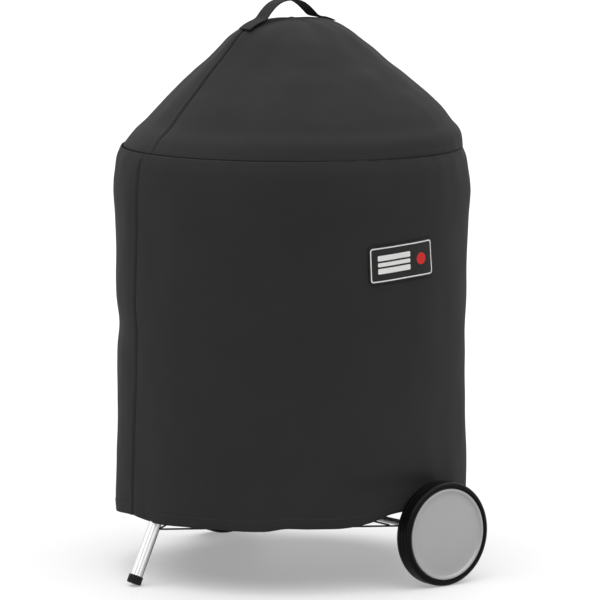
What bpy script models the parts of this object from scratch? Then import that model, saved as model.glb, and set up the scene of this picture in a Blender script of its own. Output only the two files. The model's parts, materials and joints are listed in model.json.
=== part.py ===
"""Kettle charcoal grill on three splayed legs, standing under its storage cover.

Metres, +Z up. The origin is on the floor below the middle of the whole object. The kettle's own
axis stands KETTLE_X towards the wheels. The user stands at -Y, the wheels are at +X.
"""

import math

import bmesh
import bpy
from mathutils import Euler, Matrix, Vector

# ---- driving dimensions ----------------------------------------------------------------------

GAP = 0.0003              # air left between two faces that touch
ROUND = 32                # sides of the big turned sheets
SMALL_ROUND = 12          # sides of tubes, knobs and rivets
WHEEL_ROUND = 24

KETTLE_R = 0.286          # outer radius of the bowl's rim
KETTLE_WALL = 0.0020      # enamelled steel sheet
RIM_Z = 0.775             # height of the rim
RIM_FLANGE = 0.006        # width of the flat rim that the lid sits on
BOWL_DEPTH = 0.240
LID_SKIRT = 0.014         # straight part of the lid above the rim
LID_DOME = 0.198          # rise of the lid above its straight part

LEG_TOP_R = 0.1364        # from the kettle's axis to the front leg's line, level with the bowl's bottom
HEM_TO_LEG = 0.0012       # from the cover's inner face to the front leg's tube, at the hem
WHEEL_LEG_IN = 0.01075    # wheel legs stand this much nearer to the kettle's axis
WHEEL_LEG_AZIMUTH = math.radians(72.946)
LEG_R = 0.0123            # leg tube
LEG_WALL = 0.0015
SOCKET_WALL = 0.0026
SOCKET_FIT = 0.0004       # clearance of a leg in its socket or cap
SOCKET_DEPTH = 0.075      # leg length held by its socket
SOCKET_STOP = 0.034       # from the leg's top end to the bowl
CAP_WALL = 0.0018
CAP_HEIGHT = 0.0165
CAP_FLAT = 0.0018         # taken off the cap's corner where it meets the floor

WHEEL_R = 0.1015
WHEEL_WIDTH = 0.0375
TYRE_DEPTH = 0.011
CAP_LIP = 0.0015          # hubcap's edge inside the tyre
AXLE_R = 0.0048
AXLE_FIT = 0.0004
LEG_TO_WHEEL = 0.0215     # from a wheel's inner face to the middle of its leg at the axle

RACK_WIRE = 0.0019        # radius
RACK_PITCH = 0.050
RACK_OVER_AXLE = 0.0072   # rack wire's centre above the axle's centre

HANDLE_DROP = 0.035       # side handles below the rim
HANDLE_REACH = 0.036      # of the side handle's bar, from the rim
HANDLE_HALF = 0.055       # half of the span between a side handle's posts
HANDLE_BAR_R = 0.009

COOK_DROP = 0.022         # cooking grate below the rim
COOK_EDGE = 0.016         # from the rim's radius to the cooking grate's
COAL_DROP = 0.140
COAL_EDGE = 0.012         # from the bowl's wall to the charcoal grate
GRATE_ROD = 0.0026        # radius of a grate's thin rods
GRATE_RING = 0.0034       # radius of a grate's frame rods
GRATE_PITCH = 0.026
COAL_PITCH = 0.036
HINGE_X = 0.125           # hinge lines of the cooking grate's two side flaps

VENT_IN, VENT_OUT = 0.042, 0.100
VENT_WIDTH = 0.026
BLADE_SPARE = 0.009       # sweeper blade beyond the vent that it covers
BLADE_IN = 0.0045         # blade's inner end, under the hub
BLADE_LIFT = 0.0012       # sweeper blade above the bowl's floor
BLADE_THICK = 0.0016
SHAFT_R = 0.0060
SHAFT_FIT = 0.0005
LEVER_LENGTH = 0.205
LEVER_AZIMUTH = math.radians(205.0)

HOLDER_TOP_R = 0.080      # ash catcher's collar, where it meets the bowl
BUCKET_R = 0.110
BUCKET_DEPTH = 0.130
BUCKET_DROP = 0.075       # bucket's rim below the bowl's lowest point
BUCKET_WALL = 0.0015

LID_HANDLE_RISE = 0.078   # top of the lid handle above the lid
LID_HANDLE_HALF = 0.048
SCREW_R = 0.0026
VENT_TILT = math.radians(50.0)
DAMPER_R = 0.042
DAMPER_DOME = 0.400
GAUGE_TILT = math.radians(44.0)
GAUGE_R = 0.026
GAUGE_DEPTH = 0.014

COVER_WALL = 0.0025
COVER_EASE = 0.062        # widest part of the cover beyond the kettle's rim
SHOULDER_EASE = 0.048
SHOULDER_RISE = 0.060     # shoulder seam above the rim
APEX_EASE = 0.0212        # cover's top above the lid handle
HEM_OVER_AXLE = 0.0185    # hem's edge above the axle's centre
WHEEL_CLEAR = 0.0022      # hem to the wheels' inner faces
STRAP_WIDTH = 0.036
STRAP_RISE = 0.0375       # strap's top above the cover's top
STRAP_THICK = 0.0022
LABEL_X, LABEL_Z = 0.006, 0.637     # label's middle, from the kettle's axis and the floor
LABEL_W, LABEL_H = 0.160, 0.072
LABEL_THICK = 0.0016

# ---- sizes that follow -----------------------------------------------------------------------

FACET = KETTLE_R * (1 - math.cos(math.pi / ROUND))   # flats of the turned sheets lie this far in
COVER_R = KETTLE_R + COVER_EASE
HEM_Z = WHEEL_R + HEM_OVER_AXLE
BOWL_BOTTOM = RIM_Z - BOWL_DEPTH
# Each leg runs straight from under the bowl to a point just inside the cover's hem, and on down.
LEG_HEM_R = COVER_R - COVER_WALL - HEM_TO_LEG - 1.1 * LEG_R
LEG_LEAN = math.atan2(LEG_HEM_R - LEG_TOP_R, BOWL_BOTTOM - HEM_Z)
FOOT_REACH = LEG_HEM_R + HEM_Z * math.tan(LEG_LEAN)
AXLE_LEG_REACH = FOOT_REACH - WHEEL_R * math.tan(LEG_LEAN) - WHEEL_LEG_IN
WHEEL_X = AXLE_LEG_REACH * math.cos(WHEEL_LEG_AZIMUTH)
AXLE_LEG_Y = AXLE_LEG_REACH * math.sin(WHEEL_LEG_AZIMUTH)
WHEEL_Y = AXLE_LEG_Y + LEG_TO_WHEEL + WHEEL_WIDTH / 2
FOOT_CAP_R = LEG_R + SOCKET_FIT + CAP_WALL
# The front cap's lower corner would be below the floor without this lift up the leg.
FOOT_LIFT = FOOT_CAP_R * math.tan(LEG_LEAN) - CAP_FLAT
FOOT_EDGE = FOOT_REACH + FOOT_CAP_R * math.cos(LEG_LEAN) - FOOT_LIFT * math.sin(LEG_LEAN)
KETTLE_X = (FOOT_EDGE - COVER_R) / 2
BOWL_A = KETTLE_R - RIM_FLANGE
LID_A = KETTLE_R - 0.001
LID_BASE = RIM_Z + GAP + LID_SKIRT
LID_TOP = LID_BASE + LID_DOME
APEX_Z = LID_TOP + LID_HANDLE_RISE + APEX_EASE
SHOULDER_Z = RIM_Z + SHOULDER_RISE
SHOULDER_R = KETTLE_R + SHOULDER_EASE
COOK_Z = RIM_Z - COOK_DROP
COOK_R = KETTLE_R - COOK_EDGE
COAL_Z = RIM_Z - COAL_DROP
BUCKET_TOP = BOWL_BOTTOM - BUCKET_DROP

# ---- scene, materials and small helpers ------------------------------------------------------

for old in list(bpy.data.objects):
    bpy.data.objects.remove(old)

parts = bpy.data.collections.new("kettle_charcoal_grill")
cutters = bpy.data.collections.new("cutters")
bpy.context.scene.collection.children.link(parts)
bpy.context.scene.collection.children.link(cutters)


def material(name, colour, roughness, metallic=0.0, alpha=1.0):
    made = bpy.data.materials.new(name)
    made.use_nodes = True
    shader = made.node_tree.nodes["Principled BSDF"]
    shader.inputs["Base Color"].default_value = (*colour, 1.0)
    shader.inputs["Roughness"].default_value = roughness
    shader.inputs["Metallic"].default_value = metallic
    shader.inputs["Alpha"].default_value = alpha
    return made


ENAMEL = material("black_enamel", (0.012, 0.012, 0.013), 0.18)
ALUMINIUM = material("leg_aluminium", (0.82, 0.82, 0.83), 0.28, 1.0)
STEEL = material("plated_steel", (0.55, 0.55, 0.56), 0.35, 1.0)
BLACK_WIRE = material("black_wire", (0.015, 0.015, 0.015), 0.45)
NYLON = material("black_nylon", (0.018, 0.018, 0.019), 0.55)
TYRE = material("tyre_rubber", (0.014, 0.014, 0.014), 0.60)
HUBCAP = material("hubcap_grey", (0.33, 0.33, 0.33), 0.42, 0.2)
BUCKET = material("bucket_aluminium", (0.60, 0.60, 0.61), 0.40, 1.0)
COVER = material("cover_polyester", (0.020, 0.020, 0.021), 0.85)
WEBBING = material("strap_webbing", (0.022, 0.022, 0.023), 0.80)
LABEL = material("label_patch", (0.010, 0.010, 0.010), 0.60)
DIAL = material("dial_white", (0.80, 0.80, 0.78), 0.50)
NEEDLE = material("needle_red", (0.55, 0.03, 0.02), 0.50)
GLASS = material("gauge_glass", (0.90, 0.92, 0.92), 0.05, alpha=0.35)


def empty(name, location, rotation=(0, 0, 0), parent=None):
    made = bpy.data.objects.new(name, None)
    made.location = location
    made.rotation_euler = rotation
    made.parent = parent
    parts.objects.link(made)
    return made


KETTLE = empty("kettle_axis", (KETTLE_X, 0, 0))


def add(name, data, finish, location=(0, 0, 0), rotation=(0, 0, 0), parent=KETTLE):
    """An object in its place. finish None makes it a cutter."""
    made = bpy.data.objects.new(name, data)
    made.location = location
    made.rotation_euler = rotation
    made.parent = parent
    if finish:
        data.materials.append(finish)
        parts.objects.link(made)
    else:
        made.hide_render = True
        made.display_type = "WIRE"
        cutters.objects.link(made)
    return made


def settled(obj):
    """The object with its modifiers or its curve turned into a plain closed mesh."""
    bpy.context.view_layer.update()
    graph = bpy.context.evaluated_depsgraph_get()
    mesh = bpy.data.meshes.new_from_object(obj.evaluated_get(graph))
    work = bmesh.new()
    work.from_mesh(mesh)
    bmesh.ops.remove_doubles(work, verts=work.verts, dist=1e-6)
    work.to_mesh(mesh)
    work.free()
    name, parent = obj.name, obj.parent
    home = obj.users_collection[0]
    place, hidden, display = obj.matrix_local.copy(), obj.hide_render, obj.display_type
    bpy.data.objects.remove(obj)
    made = bpy.data.objects.new(name, mesh)
    made.parent = parent
    made.matrix_local = place
    made.hide_render = hidden
    made.display_type = display
    home.objects.link(made)
    return made


def smooth(obj, angle=35.0):
    obj.data.shade_smooth()
    obj.data.set_sharp_from_angle(angle=math.radians(angle))
    return obj


def turned(name, profile, finish, sides=SMALL_ROUND, closed=False, wall=0.0, **place):
    """A profile of (radius, height) turned about local Z: down its outer side first.

    An open profile that ends on the axis, or a closed one, makes a solid. wall makes a sheet's
    outer face into a shell that thick, inwards.
    """
    mesh = bpy.data.meshes.new(name)
    count = len(profile)
    edges = [(i, i + 1) for i in range(count - 1)]
    if closed:
        edges.append((count - 1, 0))
    mesh.from_pydata([(r, 0, z) for r, z in profile], edges, [])
    obj = add(name, mesh, finish, **place)
    screw = obj.modifiers.new("turn", "SCREW")
    screw.steps = sides
    screw.render_steps = sides
    screw.use_merge_vertices = True
    screw.merge_threshold = 0.00001
    if wall:
        thick = obj.modifiers.new("wall", "SOLIDIFY")
        thick.thickness = wall
        thick.offset = -1
        thick.use_even_offset = True
    return smooth(settled(obj))


def block(name, size, finish, bevel=0.0, **place):
    mesh = bpy.data.meshes.new(name)
    work = bmesh.new()
    bmesh.ops.create_cube(work, size=1.0)
    bmesh.ops.scale(work, vec=size, verts=work.verts)
    work.to_mesh(mesh)
    work.free()
    obj = add(name, mesh, finish, **place)
    if bevel:
        rounding = obj.modifiers.new("edges", "BEVEL")
        rounding.width = bevel
        rounding.segments = 2
        obj = settled(obj)
    return obj


def cylinder(name, radius, low, high, finish, sides=SMALL_ROUND, **place):
    return turned(name, [(0, high), (radius, high), (radius, low), (0, low)], finish, sides, **place)


def tube(name, outer, inner, low, high, finish, sides=SMALL_ROUND, **place):
    outline = [(inner, high), (outer, high), (outer, low), (inner, low)]
    return turned(name, outline, finish, sides, closed=True, **place)


def wire(name, runs, radius, finish, loop=False, resolution=1, **place):
    """Straight runs of round wire: each run is a list of points, all in one mesh."""
    curve = bpy.data.curves.new(name, "CURVE")
    curve.dimensions = "3D"
    curve.bevel_depth = radius
    curve.bevel_resolution = resolution
    curve.use_fill_caps = True
    for points in runs:
        spline = curve.splines.new("POLY")
        spline.points.add(len(points) - 1)
        for target, point in zip(spline.points, points):
            target.co = (*point, 1.0)
        spline.use_cyclic_u = loop
    return settled(add(name, curve, finish, **place))


def gather(name, pieces, finish, **place):
    """Separate shapes held in one mesh, ready to be joined or cut away together."""
    bpy.context.view_layer.update()
    work = bmesh.new()
    for piece in pieces:
        start = len(work.verts)
        work.from_mesh(piece.data)
        work.verts.ensure_lookup_table()
        bmesh.ops.transform(work, matrix=piece.matrix_local, verts=work.verts[start:])
        bpy.data.objects.remove(piece)
    mesh = bpy.data.meshes.new(name)
    work.to_mesh(mesh)
    work.free()
    return add(name, mesh, finish, **place)


def boolean(obj, other, operation):
    modifier = obj.modifiers.new(operation.lower(), "BOOLEAN")
    modifier.operation = operation
    modifier.solver = "EXACT"
    modifier.object = other
    return obj


def cut(obj, *others):
    for other in others:
        boolean(obj, other, "DIFFERENCE")
    return obj


def joined(obj, *others):
    for other in others:
        boolean(obj, other, "UNION")
    return obj


def arc(centre, radius, start, end, count):
    """Points (x, y) on an arc, angles in degrees."""
    turn = [math.radians(start + (end - start) * i / (count - 1)) for i in range(count)]
    return [(centre[0] + radius * math.cos(t), centre[1] + radius * math.sin(t)) for t in turn]


def rounded(points, radius, loop=False, steps=3, sharpest=20.0):
    """The same run of points with each corner over sharpest degrees bent to a radius."""
    made = []
    points = [Vector(p) for p in points]
    for i, here in enumerate(points):
        if not loop and i in (0, len(points) - 1):
            made.append(here)
            continue
        before = (points[i - 1] - here).normalized()
        after = (points[(i + 1) % len(points)] - here).normalized()
        turn = math.pi - before.angle(after)
        if math.degrees(turn) < sharpest:
            made.append(here)
            continue
        back = radius * math.tan(turn / 2)
        centre = here + (before + after).normalized() * radius / math.cos(turn / 2)
        start = (here + before * back - centre).normalized()
        end = (here + after * back - centre).normalized()
        for step in range(steps + 1):
            share = step / steps
            made.append(centre + start.slerp(end, share) * radius)
    return made


# ---- bowl ------------------------------------------------------------------------------------

BOWL_STEPS = 9


def bowl_outline(offset=0.0):
    """Outer face of the bowl from the rim to the shaft hole, moved outwards by offset."""
    a, b = BOWL_A + offset, BOWL_DEPTH + offset
    last = math.acos((SHAFT_R + SHAFT_FIT) / a)
    turn = [last * i / (BOWL_STEPS - 1) for i in range(BOWL_STEPS)]
    return [(a * math.cos(t), RIM_Z - b * math.sin(t)) for t in turn]


def bowl_radius(z, offset=0.0):
    a, b = BOWL_A + offset, BOWL_DEPTH + offset
    return a * math.sqrt(1 - ((RIM_Z - z) / b) ** 2)


def bowl_floor(r, offset=0.0):
    a, b = BOWL_A + offset, BOWL_DEPTH + offset
    return RIM_Z - b * math.sqrt(1 - (r / a) ** 2)


# The space that the bowl takes up, a gap larger, for trimming what is welded under it.
outside = [(0, RIM_Z + 0.01), (BOWL_A + GAP, RIM_Z + 0.01)]
outside += bowl_outline(GAP) + [(0, BOWL_BOTTOM - GAP)]
BOWL_OUTSIDE = turned("bowl_outside", outside, None, ROUND)
# The space inside the bowl, a gap smaller, for trimming what is welded into it.
room = -KETTLE_WALL - 2 * GAP
inside = [(0, RIM_Z)] + bowl_outline(room) + [(0, BOWL_BOTTOM - room)]
BOWL_INSIDE = turned("bowl_inside", inside, None, ROUND)

# The flat rim's underside comes first, because the wall's thickness is added above it.
rim_under = RIM_Z - KETTLE_WALL
bowl_sheet = [(KETTLE_R, rim_under), (BOWL_A, rim_under)] + bowl_outline()[1:]
bowl = turned("bowl", bowl_sheet, ENAMEL, ROUND, wall=KETTLE_WALL)


def vent_star(name, length_in, length_out, width, finish, low, high):
    """Three round-ended radial bars a third of a turn apart, standing from low to high."""
    bars = []
    for number in range(3):
        turn = LEVER_AZIMUTH + math.radians(60 + 120 * number)
        outline = arc((length_out - width / 2, 0), width / 2, -90, 90, 7)
        outline += arc((length_in + width / 2, 0), width / 2, 90, 270, 7)
        curve = bpy.data.curves.new(f"{name}_{number}", "CURVE")
        curve.dimensions = "2D"
        curve.fill_mode = "BOTH"
        curve.extrude = (high - low) / 2
        spline = curve.splines.new("POLY")
        spline.points.add(len(outline) - 1)
        for target, point in zip(spline.points, outline):
            target.co = (*point, 0, 1.0)
        spline.use_cyclic_u = True
        bar = add(f"{name}_{number}", curve, None, (0, 0, (low + high) / 2), (0, 0, turn))
        bars.append(settled(bar))
    return gather(name, bars, finish)


below = BOWL_BOTTOM - 0.02
cut(bowl, vent_star("bowl_vents", VENT_IN, VENT_OUT, VENT_WIDTH, None, below, RIM_Z - 0.1))

# ---- grate brackets, welded inside the bowl ---------------------------------------------------

BRACKET_WIDTH = 0.020
LEDGE = 0.020
COAL_R = bowl_radius(COAL_Z - GRATE_RING, -KETTLE_WALL) - COAL_EDGE
cook_ledge = COOK_Z - GRATE_RING - GAP
coal_ledge = COAL_Z - GRATE_RING - GAP
for number in range(4):
    # A step on top for the cooking grate, and one at its foot for the charcoal grate.
    bracket_low = coal_ledge - 0.012
    top_in, foot_in = COOK_R - LEDGE / 2, COAL_R - LEDGE / 2
    strap_in = bowl_radius(cook_ledge, -KETTLE_WALL) - 0.004
    outline = [
        (KETTLE_R, cook_ledge), (top_in, cook_ledge), (top_in, cook_ledge - 0.003),
        (COOK_R - 0.002, cook_ledge - 0.006), (COAL_R + 0.006, coal_ledge + 0.008),
        (COAL_R + 0.004, coal_ledge), (foot_in, coal_ledge), (foot_in, coal_ledge - 0.003),
        (COAL_R - 0.002, bracket_low), (KETTLE_R, bracket_low),
    ]
    curve = bpy.data.curves.new("bracket", "CURVE")
    curve.dimensions = "2D"
    curve.fill_mode = "BOTH"
    curve.extrude = BRACKET_WIDTH / 2
    spline = curve.splines.new("POLY")
    spline.points.add(len(outline) - 1)
    for target, point in zip(spline.points, outline):
        target.co = (*point, 0, 1.0)
    spline.use_cyclic_u = True
    turn = math.radians(45 + 90 * number)
    stood_up = Euler((math.pi / 2, 0, turn))
    name = f"grate_bracket_{number + 1}"
    bracket = settled(add(name, curve, STEEL, rotation=stood_up))
    boolean(bracket, BOWL_INSIDE, "INTERSECT")

# ---- side handles ----------------------------------------------------------------------------

HANDLE_Z = RIM_Z - HANDLE_DROP
PLATE = 0.004
for side, turn in (("left", math.pi), ("right", 0.0)):
    reach = KETTLE_R + HANDLE_REACH
    plate_face = BOWL_A + PLATE
    plate = block(
        f"handle_plate_{side}", (0.050, 2 * HANDLE_HALF + 0.030, 0.030), STEEL,
        location=Matrix.Rotation(turn, 3, "Z") @ Vector((plate_face - 0.025, 0, HANDLE_Z)),
        rotation=(0, 0, turn),
    )
    cut(plate, BOWL_OUTSIDE)
    bend = 0.016
    route = [(plate_face + GAP, -HANDLE_HALF)]
    route += arc((reach - bend, -HANDLE_HALF + bend), bend, -90, 0, 4)
    route += arc((reach - bend, HANDLE_HALF - bend), bend, 0, 90, 4)
    route += [(plate_face + GAP, HANDLE_HALF)]
    grip = wire(
        f"side_handle_{side}", [[(x, y, 0) for x, y in route]], HANDLE_BAR_R, NYLON,
        resolution=3, location=(0, 0, HANDLE_Z), rotation=(0, 0, turn),
    )
    smooth(grip, 50)

# ---- legs ------------------------------------------------------------------------------------


def leg_line(name, reach, height, azimuth):
    """An empty on a leg's line at the given height, its Z pointing up the leg."""
    at = (reach * math.cos(azimuth), reach * math.sin(azimuth), height)
    return empty(name, at, Euler((0, -LEG_LEAN, azimuth)), KETTLE)


def leg_to_bowl(reach, height):
    """Length up the leg's line from that point to the bowl's outer face."""
    low, high = 0.0, 1.5 * RIM_Z
    for _ in range(50):
        middle = (low + high) / 2
        r = abs(reach - middle * math.sin(LEG_LEAN))
        z = height + middle * math.cos(LEG_LEAN)
        inside = r < BOWL_A and z > bowl_floor(r)
        low, high = (low, middle) if inside else (middle, high)
    return low


LEGS = {
    "front": (FOOT_REACH, 0.0, math.pi),
    "wheel_left": (AXLE_LEG_REACH, WHEEL_R, WHEEL_LEG_AZIMUTH),
    "wheel_right": (AXLE_LEG_REACH, WHEEL_R, -WHEEL_LEG_AZIMUTH),
}
CAP_BORE = LEG_R + SOCKET_FIT
CAP_FLOOR = 0.005
# In an axle block the leaning leg stops just clear of the axle's bore.
BORE_TOP = AXLE_R + AXLE_FIT + 0.0010
AXLE_BLOCK_SEAT = (BORE_TOP + CAP_BORE * math.sin(LEG_LEAN)) / math.cos(LEG_LEAN)
AXLE_BLOCK_LOW, AXLE_BLOCK_HIGH = -0.0135, AXLE_BLOCK_SEAT + 0.016

for place, (reach, height, azimuth) in LEGS.items():
    line = leg_line(f"leg_line_{place}", reach, height, azimuth)
    to_bowl = leg_to_bowl(reach, height)
    top = to_bowl - SOCKET_STOP
    seat = FOOT_LIFT + CAP_FLOOR if place == "front" else AXLE_BLOCK_SEAT
    tube(f"leg_{place}", LEG_R, LEG_R - LEG_WALL, seat + GAP, top, ALUMINIUM, parent=line)
    socket = tube(
        f"leg_socket_{place}", CAP_BORE + SOCKET_WALL, CAP_BORE, top - SOCKET_DEPTH,
        to_bowl + 0.030, ENAMEL, parent=line,
    )
    cut(socket, BOWL_OUTSIDE)
    if place == "front":
        low, seat_face, high = FOOT_LIFT, seat, FOOT_LIFT + CAP_HEIGHT
    else:
        low, seat_face, high = AXLE_BLOCK_LOW, AXLE_BLOCK_SEAT, AXLE_BLOCK_HIGH
    edge = 0.0012
    outline = [
        (0, seat_face), (CAP_BORE, seat_face), (CAP_BORE, high), (FOOT_CAP_R - edge, high),
        (FOOT_CAP_R, high - edge), (FOOT_CAP_R, low + edge), (FOOT_CAP_R - edge, low), (0, low),
    ]
    name = "foot_cap" if place == "front" else place.replace("wheel", "axle_block")
    cap = turned(name, outline, NYLON, parent=line)
    if place == "front":
        floor = block("floor_cutter", (0.2, 0.2, 0.1), None, location=(-FOOT_REACH, 0, -0.05))
        cut(cap, floor)
    else:
        side = math.copysign(1, azimuth)
        bore = cylinder(
            f"axle_bore_{place}", AXLE_R + AXLE_FIT, -0.04, 0.04, None,
            location=(WHEEL_X, side * AXLE_LEG_Y, WHEEL_R), rotation=(math.pi / 2, 0, 0),
        )
        cut(cap, bore)

# ---- axle and wheels -------------------------------------------------------------------------

HALF_WIDE = WHEEL_WIDTH / 2
RIM_R = WHEEL_R - TYRE_DEPTH
NUT_LOW, NUT_HIGH = 0.0085, 0.0115
axle_half = WHEEL_Y + NUT_HIGH - 0.001
cylinder(
    "axle", AXLE_R, -axle_half, axle_half, STEEL,
    location=(WHEEL_X, 0, WHEEL_R), rotation=(math.pi / 2, 0, 0),
)
for side, sign in (("left", 1), ("right", -1)):
    spin = empty(f"wheel_{side}_spin", (WHEEL_X, sign * WHEEL_Y, WHEEL_R), parent=KETTLE)
    outwards = (-sign * math.pi / 2, 0, 0)
    chamfer = 0.0045
    tread = [
        (RIM_R, HALF_WIDE - 0.002), (RIM_R + 0.003, HALF_WIDE),
        (WHEEL_R - chamfer, HALF_WIDE - 0.001), (WHEEL_R, HALF_WIDE - chamfer - 0.001),
    ]
    tread += [(r, -z) for r, z in reversed(tread)]
    turned(
        f"tyre_{side}", tread, TYRE, WHEEL_ROUND, closed=True, rotation=outwards, parent=spin
    )
    bore = AXLE_R + AXLE_FIT
    rim = RIM_R - GAP
    core = [
        (bore, 0.006), (0.015, 0.006), (0.015, 0.002), (rim - 0.012, 0.002),
        (rim - 0.008, 0.0105), (rim, 0.0105), (rim, -HALF_WIDE + 0.003),
        (rim - 0.004, -HALF_WIDE + 0.003), (rim - 0.008, -0.003), (0.018, -0.003),
        (0.016, -HALF_WIDE - 0.001), (bore, -HALF_WIDE - 0.001),
    ]
    turned(
        f"wheel_core_{side}", core, NYLON, WHEEL_ROUND, closed=True,
        rotation=outwards, parent=spin,
    )
    cap_r = RIM_R - CAP_LIP
    cap = [
        (0, 0.0140), (cap_r * 0.6, 0.0144), (cap_r - 0.007, 0.0158), (cap_r - 0.004, 0.0180),
        (cap_r - 0.001, 0.0180), (cap_r, 0.0168), (cap_r, 0.0110), (cap_r - 0.004, 0.0110),
        (cap_r - 0.006, 0.0144), (cap_r * 0.6, 0.0129), (0, 0.0125),
    ]
    turned(f"hubcap_{side}", cap, HUBCAP, WHEEL_ROUND, rotation=outwards, parent=spin)
    tube(
        f"axle_nut_{side}", 0.0095, AXLE_R + GAP, NUT_LOW, NUT_HIGH, STEEL,
        rotation=outwards, parent=spin,
    )

# ---- bottom rack -----------------------------------------------------------------------------

RACK_Z = WHEEL_R + RACK_OVER_AXLE
eyes, hook, corners = [], [], []
for place, (reach, height, azimuth) in LEGS.items():
    clear = (LEG_R if place == "front" else FOOT_CAP_R) + 0.0006 + RACK_WIRE
    # Each bend lies square to its leg, so its inner side is lower than its middle.
    dip = clear * math.sin(LEG_LEAN)
    inner_z = RACK_Z - 0.004 if place == "front" else RACK_Z
    up = (inner_z + dip - height) / math.cos(LEG_LEAN)
    # The front leg has an open hook behind it; the other two have closed eyes.
    bend = (120, 240, 7) if place == "front" else (0, 324, 10)
    circle = arc((0, 0), clear * 1.02, *bend)
    toward = Euler((0, -LEG_LEAN, azimuth)).to_matrix()
    foot = Vector((reach * math.cos(azimuth), reach * math.sin(azimuth), height))
    bent = hook if place == "front" else eyes
    bent.append([foot + toward @ Vector((x, y, up)) for x, y in circle])
    corners.append(foot + toward @ Vector((-clear, 0, up)))
front_corner, left_corner, right_corner = corners
# Each corner is set out so that its bend, not its point, meets the eye.
RACK_BEND = 0.004
triangle = [front_corner, right_corner, left_corner]
set_out = []
for i, here in enumerate(triangle):
    before = (triangle[i - 1] - here).normalized()
    after = (triangle[(i + 1) % 3] - here).normalized()
    half = before.angle(after) / 2
    set_out.append(here - (before + after).normalized() * RACK_BEND * (1 / math.sin(half) - 1))
rim_run = rounded(set_out, RACK_BEND, loop=True, steps=4)
frame = wire("bottom_rack", [rim_run], RACK_WIRE, BLACK_WIRE, loop=True)
eye_rings = wire("rack_eyes", eyes, RACK_WIRE, None, loop=True)
front_hook = wire("rack_hook", hook, RACK_WIRE, None)
bars = []
span = left_corner.x - front_corner.x
count = int((span - 0.02) / RACK_PITCH)
for number in range(count):
    x = left_corner.x - RACK_PITCH * (number + 1)
    share = (x - front_corner.x) / span
    y = share * left_corner.y
    z = front_corner.z + share * (left_corner.z - front_corner.z) + 1.2 * RACK_WIRE
    bars.append([(x, -y - 0.003, z), (x, y + 0.003, z)])
cross_bars = wire("rack_bars", bars, RACK_WIRE, None, resolution=0)
joined(frame, gather("rack_extras", [eye_rings, front_hook, cross_bars], None))

# ---- ash sweeper and its lever -----------------------------------------------------------------

SWEEP_OUT = VENT_OUT + BLADE_SPARE
blade_face = -KETTLE_WALL - BLADE_LIFT
sheet = [p for p in bowl_outline(blade_face) if p[0] < SWEEP_OUT + 0.030]
sheet_top = [(r, z + BLADE_THICK) for r, z in sheet]
blades = turned("ash_sweeper", sheet + sheet_top[::-1], ENAMEL, ROUND, closed=True)
star = vent_star(
    "sweeper_star", BLADE_IN, SWEEP_OUT, VENT_WIDTH + 2 * BLADE_SPARE, None,
    BOWL_BOTTOM - 0.05, RIM_Z - 0.05,
)
boolean(blades, star, "INTERSECT")
shaft_top = bowl_floor(0.0, blade_face) + 0.010
LEVER_Z = BOWL_BOTTOM - 0.016
hub = turned(
    "sweeper_hub",
    [(0, shaft_top), (0.014, shaft_top), (0.014, shaft_top - 0.0095), (SHAFT_R, shaft_top - 0.0095),
     (SHAFT_R, LEVER_Z + 0.0015 + GAP), (0, LEVER_Z + 0.0015 + GAP)],
    None,
)
joined(blades, hub)

lever_turn = Matrix.Rotation(LEVER_AZIMUTH, 3, "Z")
lever = block(
    "sweeper_lever", (LEVER_LENGTH + 0.012, 0.018, 0.003), STEEL,
    location=lever_turn @ Vector(((LEVER_LENGTH - 0.012) / 2, 0, LEVER_Z)),
    rotation=(0, 0, LEVER_AZIMUTH),
)
GRIP_LENGTH, GRIP_R = 0.055, 0.010
grip = turned(
    "lever_grip",
    [(0, GRIP_LENGTH), (GRIP_R * 0.7, GRIP_LENGTH), (GRIP_R, GRIP_LENGTH - 0.004),
     (GRIP_R * 0.85, GRIP_LENGTH / 2), (GRIP_R, 0.003), (GRIP_R * 0.8, 0), (0, 0)],
    NYLON, location=lever_turn @ Vector((LEVER_LENGTH - 0.020, 0, LEVER_Z)),
    rotation=Euler((0, math.pi / 2, LEVER_AZIMUTH)),
)
slot = block(
    "lever_slot", (0.0412, 0.0186, 0.0036), None,
    location=lever_turn @ Vector((LEVER_LENGTH - 0.0203, 0, LEVER_Z)),
    rotation=(0, 0, LEVER_AZIMUTH),
)
cut(grip, slot)

# ---- ash catcher: collar and bucket --------------------------------------------------------------

BUCKET_FLANGE = 0.006
HOLDER_R = BUCKET_R + BUCKET_FLANGE
holder_top = bowl_floor(HOLDER_TOP_R)
holder = turned(
    "ash_collar", [(HOLDER_TOP_R, holder_top + 0.012), (HOLDER_R, BUCKET_TOP + GAP + 0.010),
                   (HOLDER_R, BUCKET_TOP + GAP)],
    BUCKET, ROUND, wall=BUCKET_WALL,
)
cut(holder, BOWL_OUTSIDE)
# The lever swings through a slot in the collar.
SWEEP_TRAVEL = math.radians(60.0)
slot_half = 0.009 + 0.004
wedge = bpy.data.curves.new("collar_slot", "CURVE")
wedge.dimensions = "2D"
wedge.fill_mode = "BOTH"
wedge.extrude = 0.0045
margin = slot_half / HOLDER_TOP_R
far = 2 * HOLDER_R
wedge_outline = [(0, 0)]
wedge_outline += arc((0, 0), far, -math.degrees(margin), math.degrees(SWEEP_TRAVEL + margin), 9)
spline = wedge.splines.new("POLY")
spline.points.add(len(wedge_outline) - 1)
for target, point in zip(spline.points, wedge_outline):
    target.co = (*point, 0, 1.0)
spline.use_cyclic_u = True
slot_cutter = settled(
    add("collar_slot", wedge, None, location=(0, 0, LEVER_Z), rotation=(0, 0, LEVER_AZIMUTH))
)
cut(holder, slot_cutter)

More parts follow.
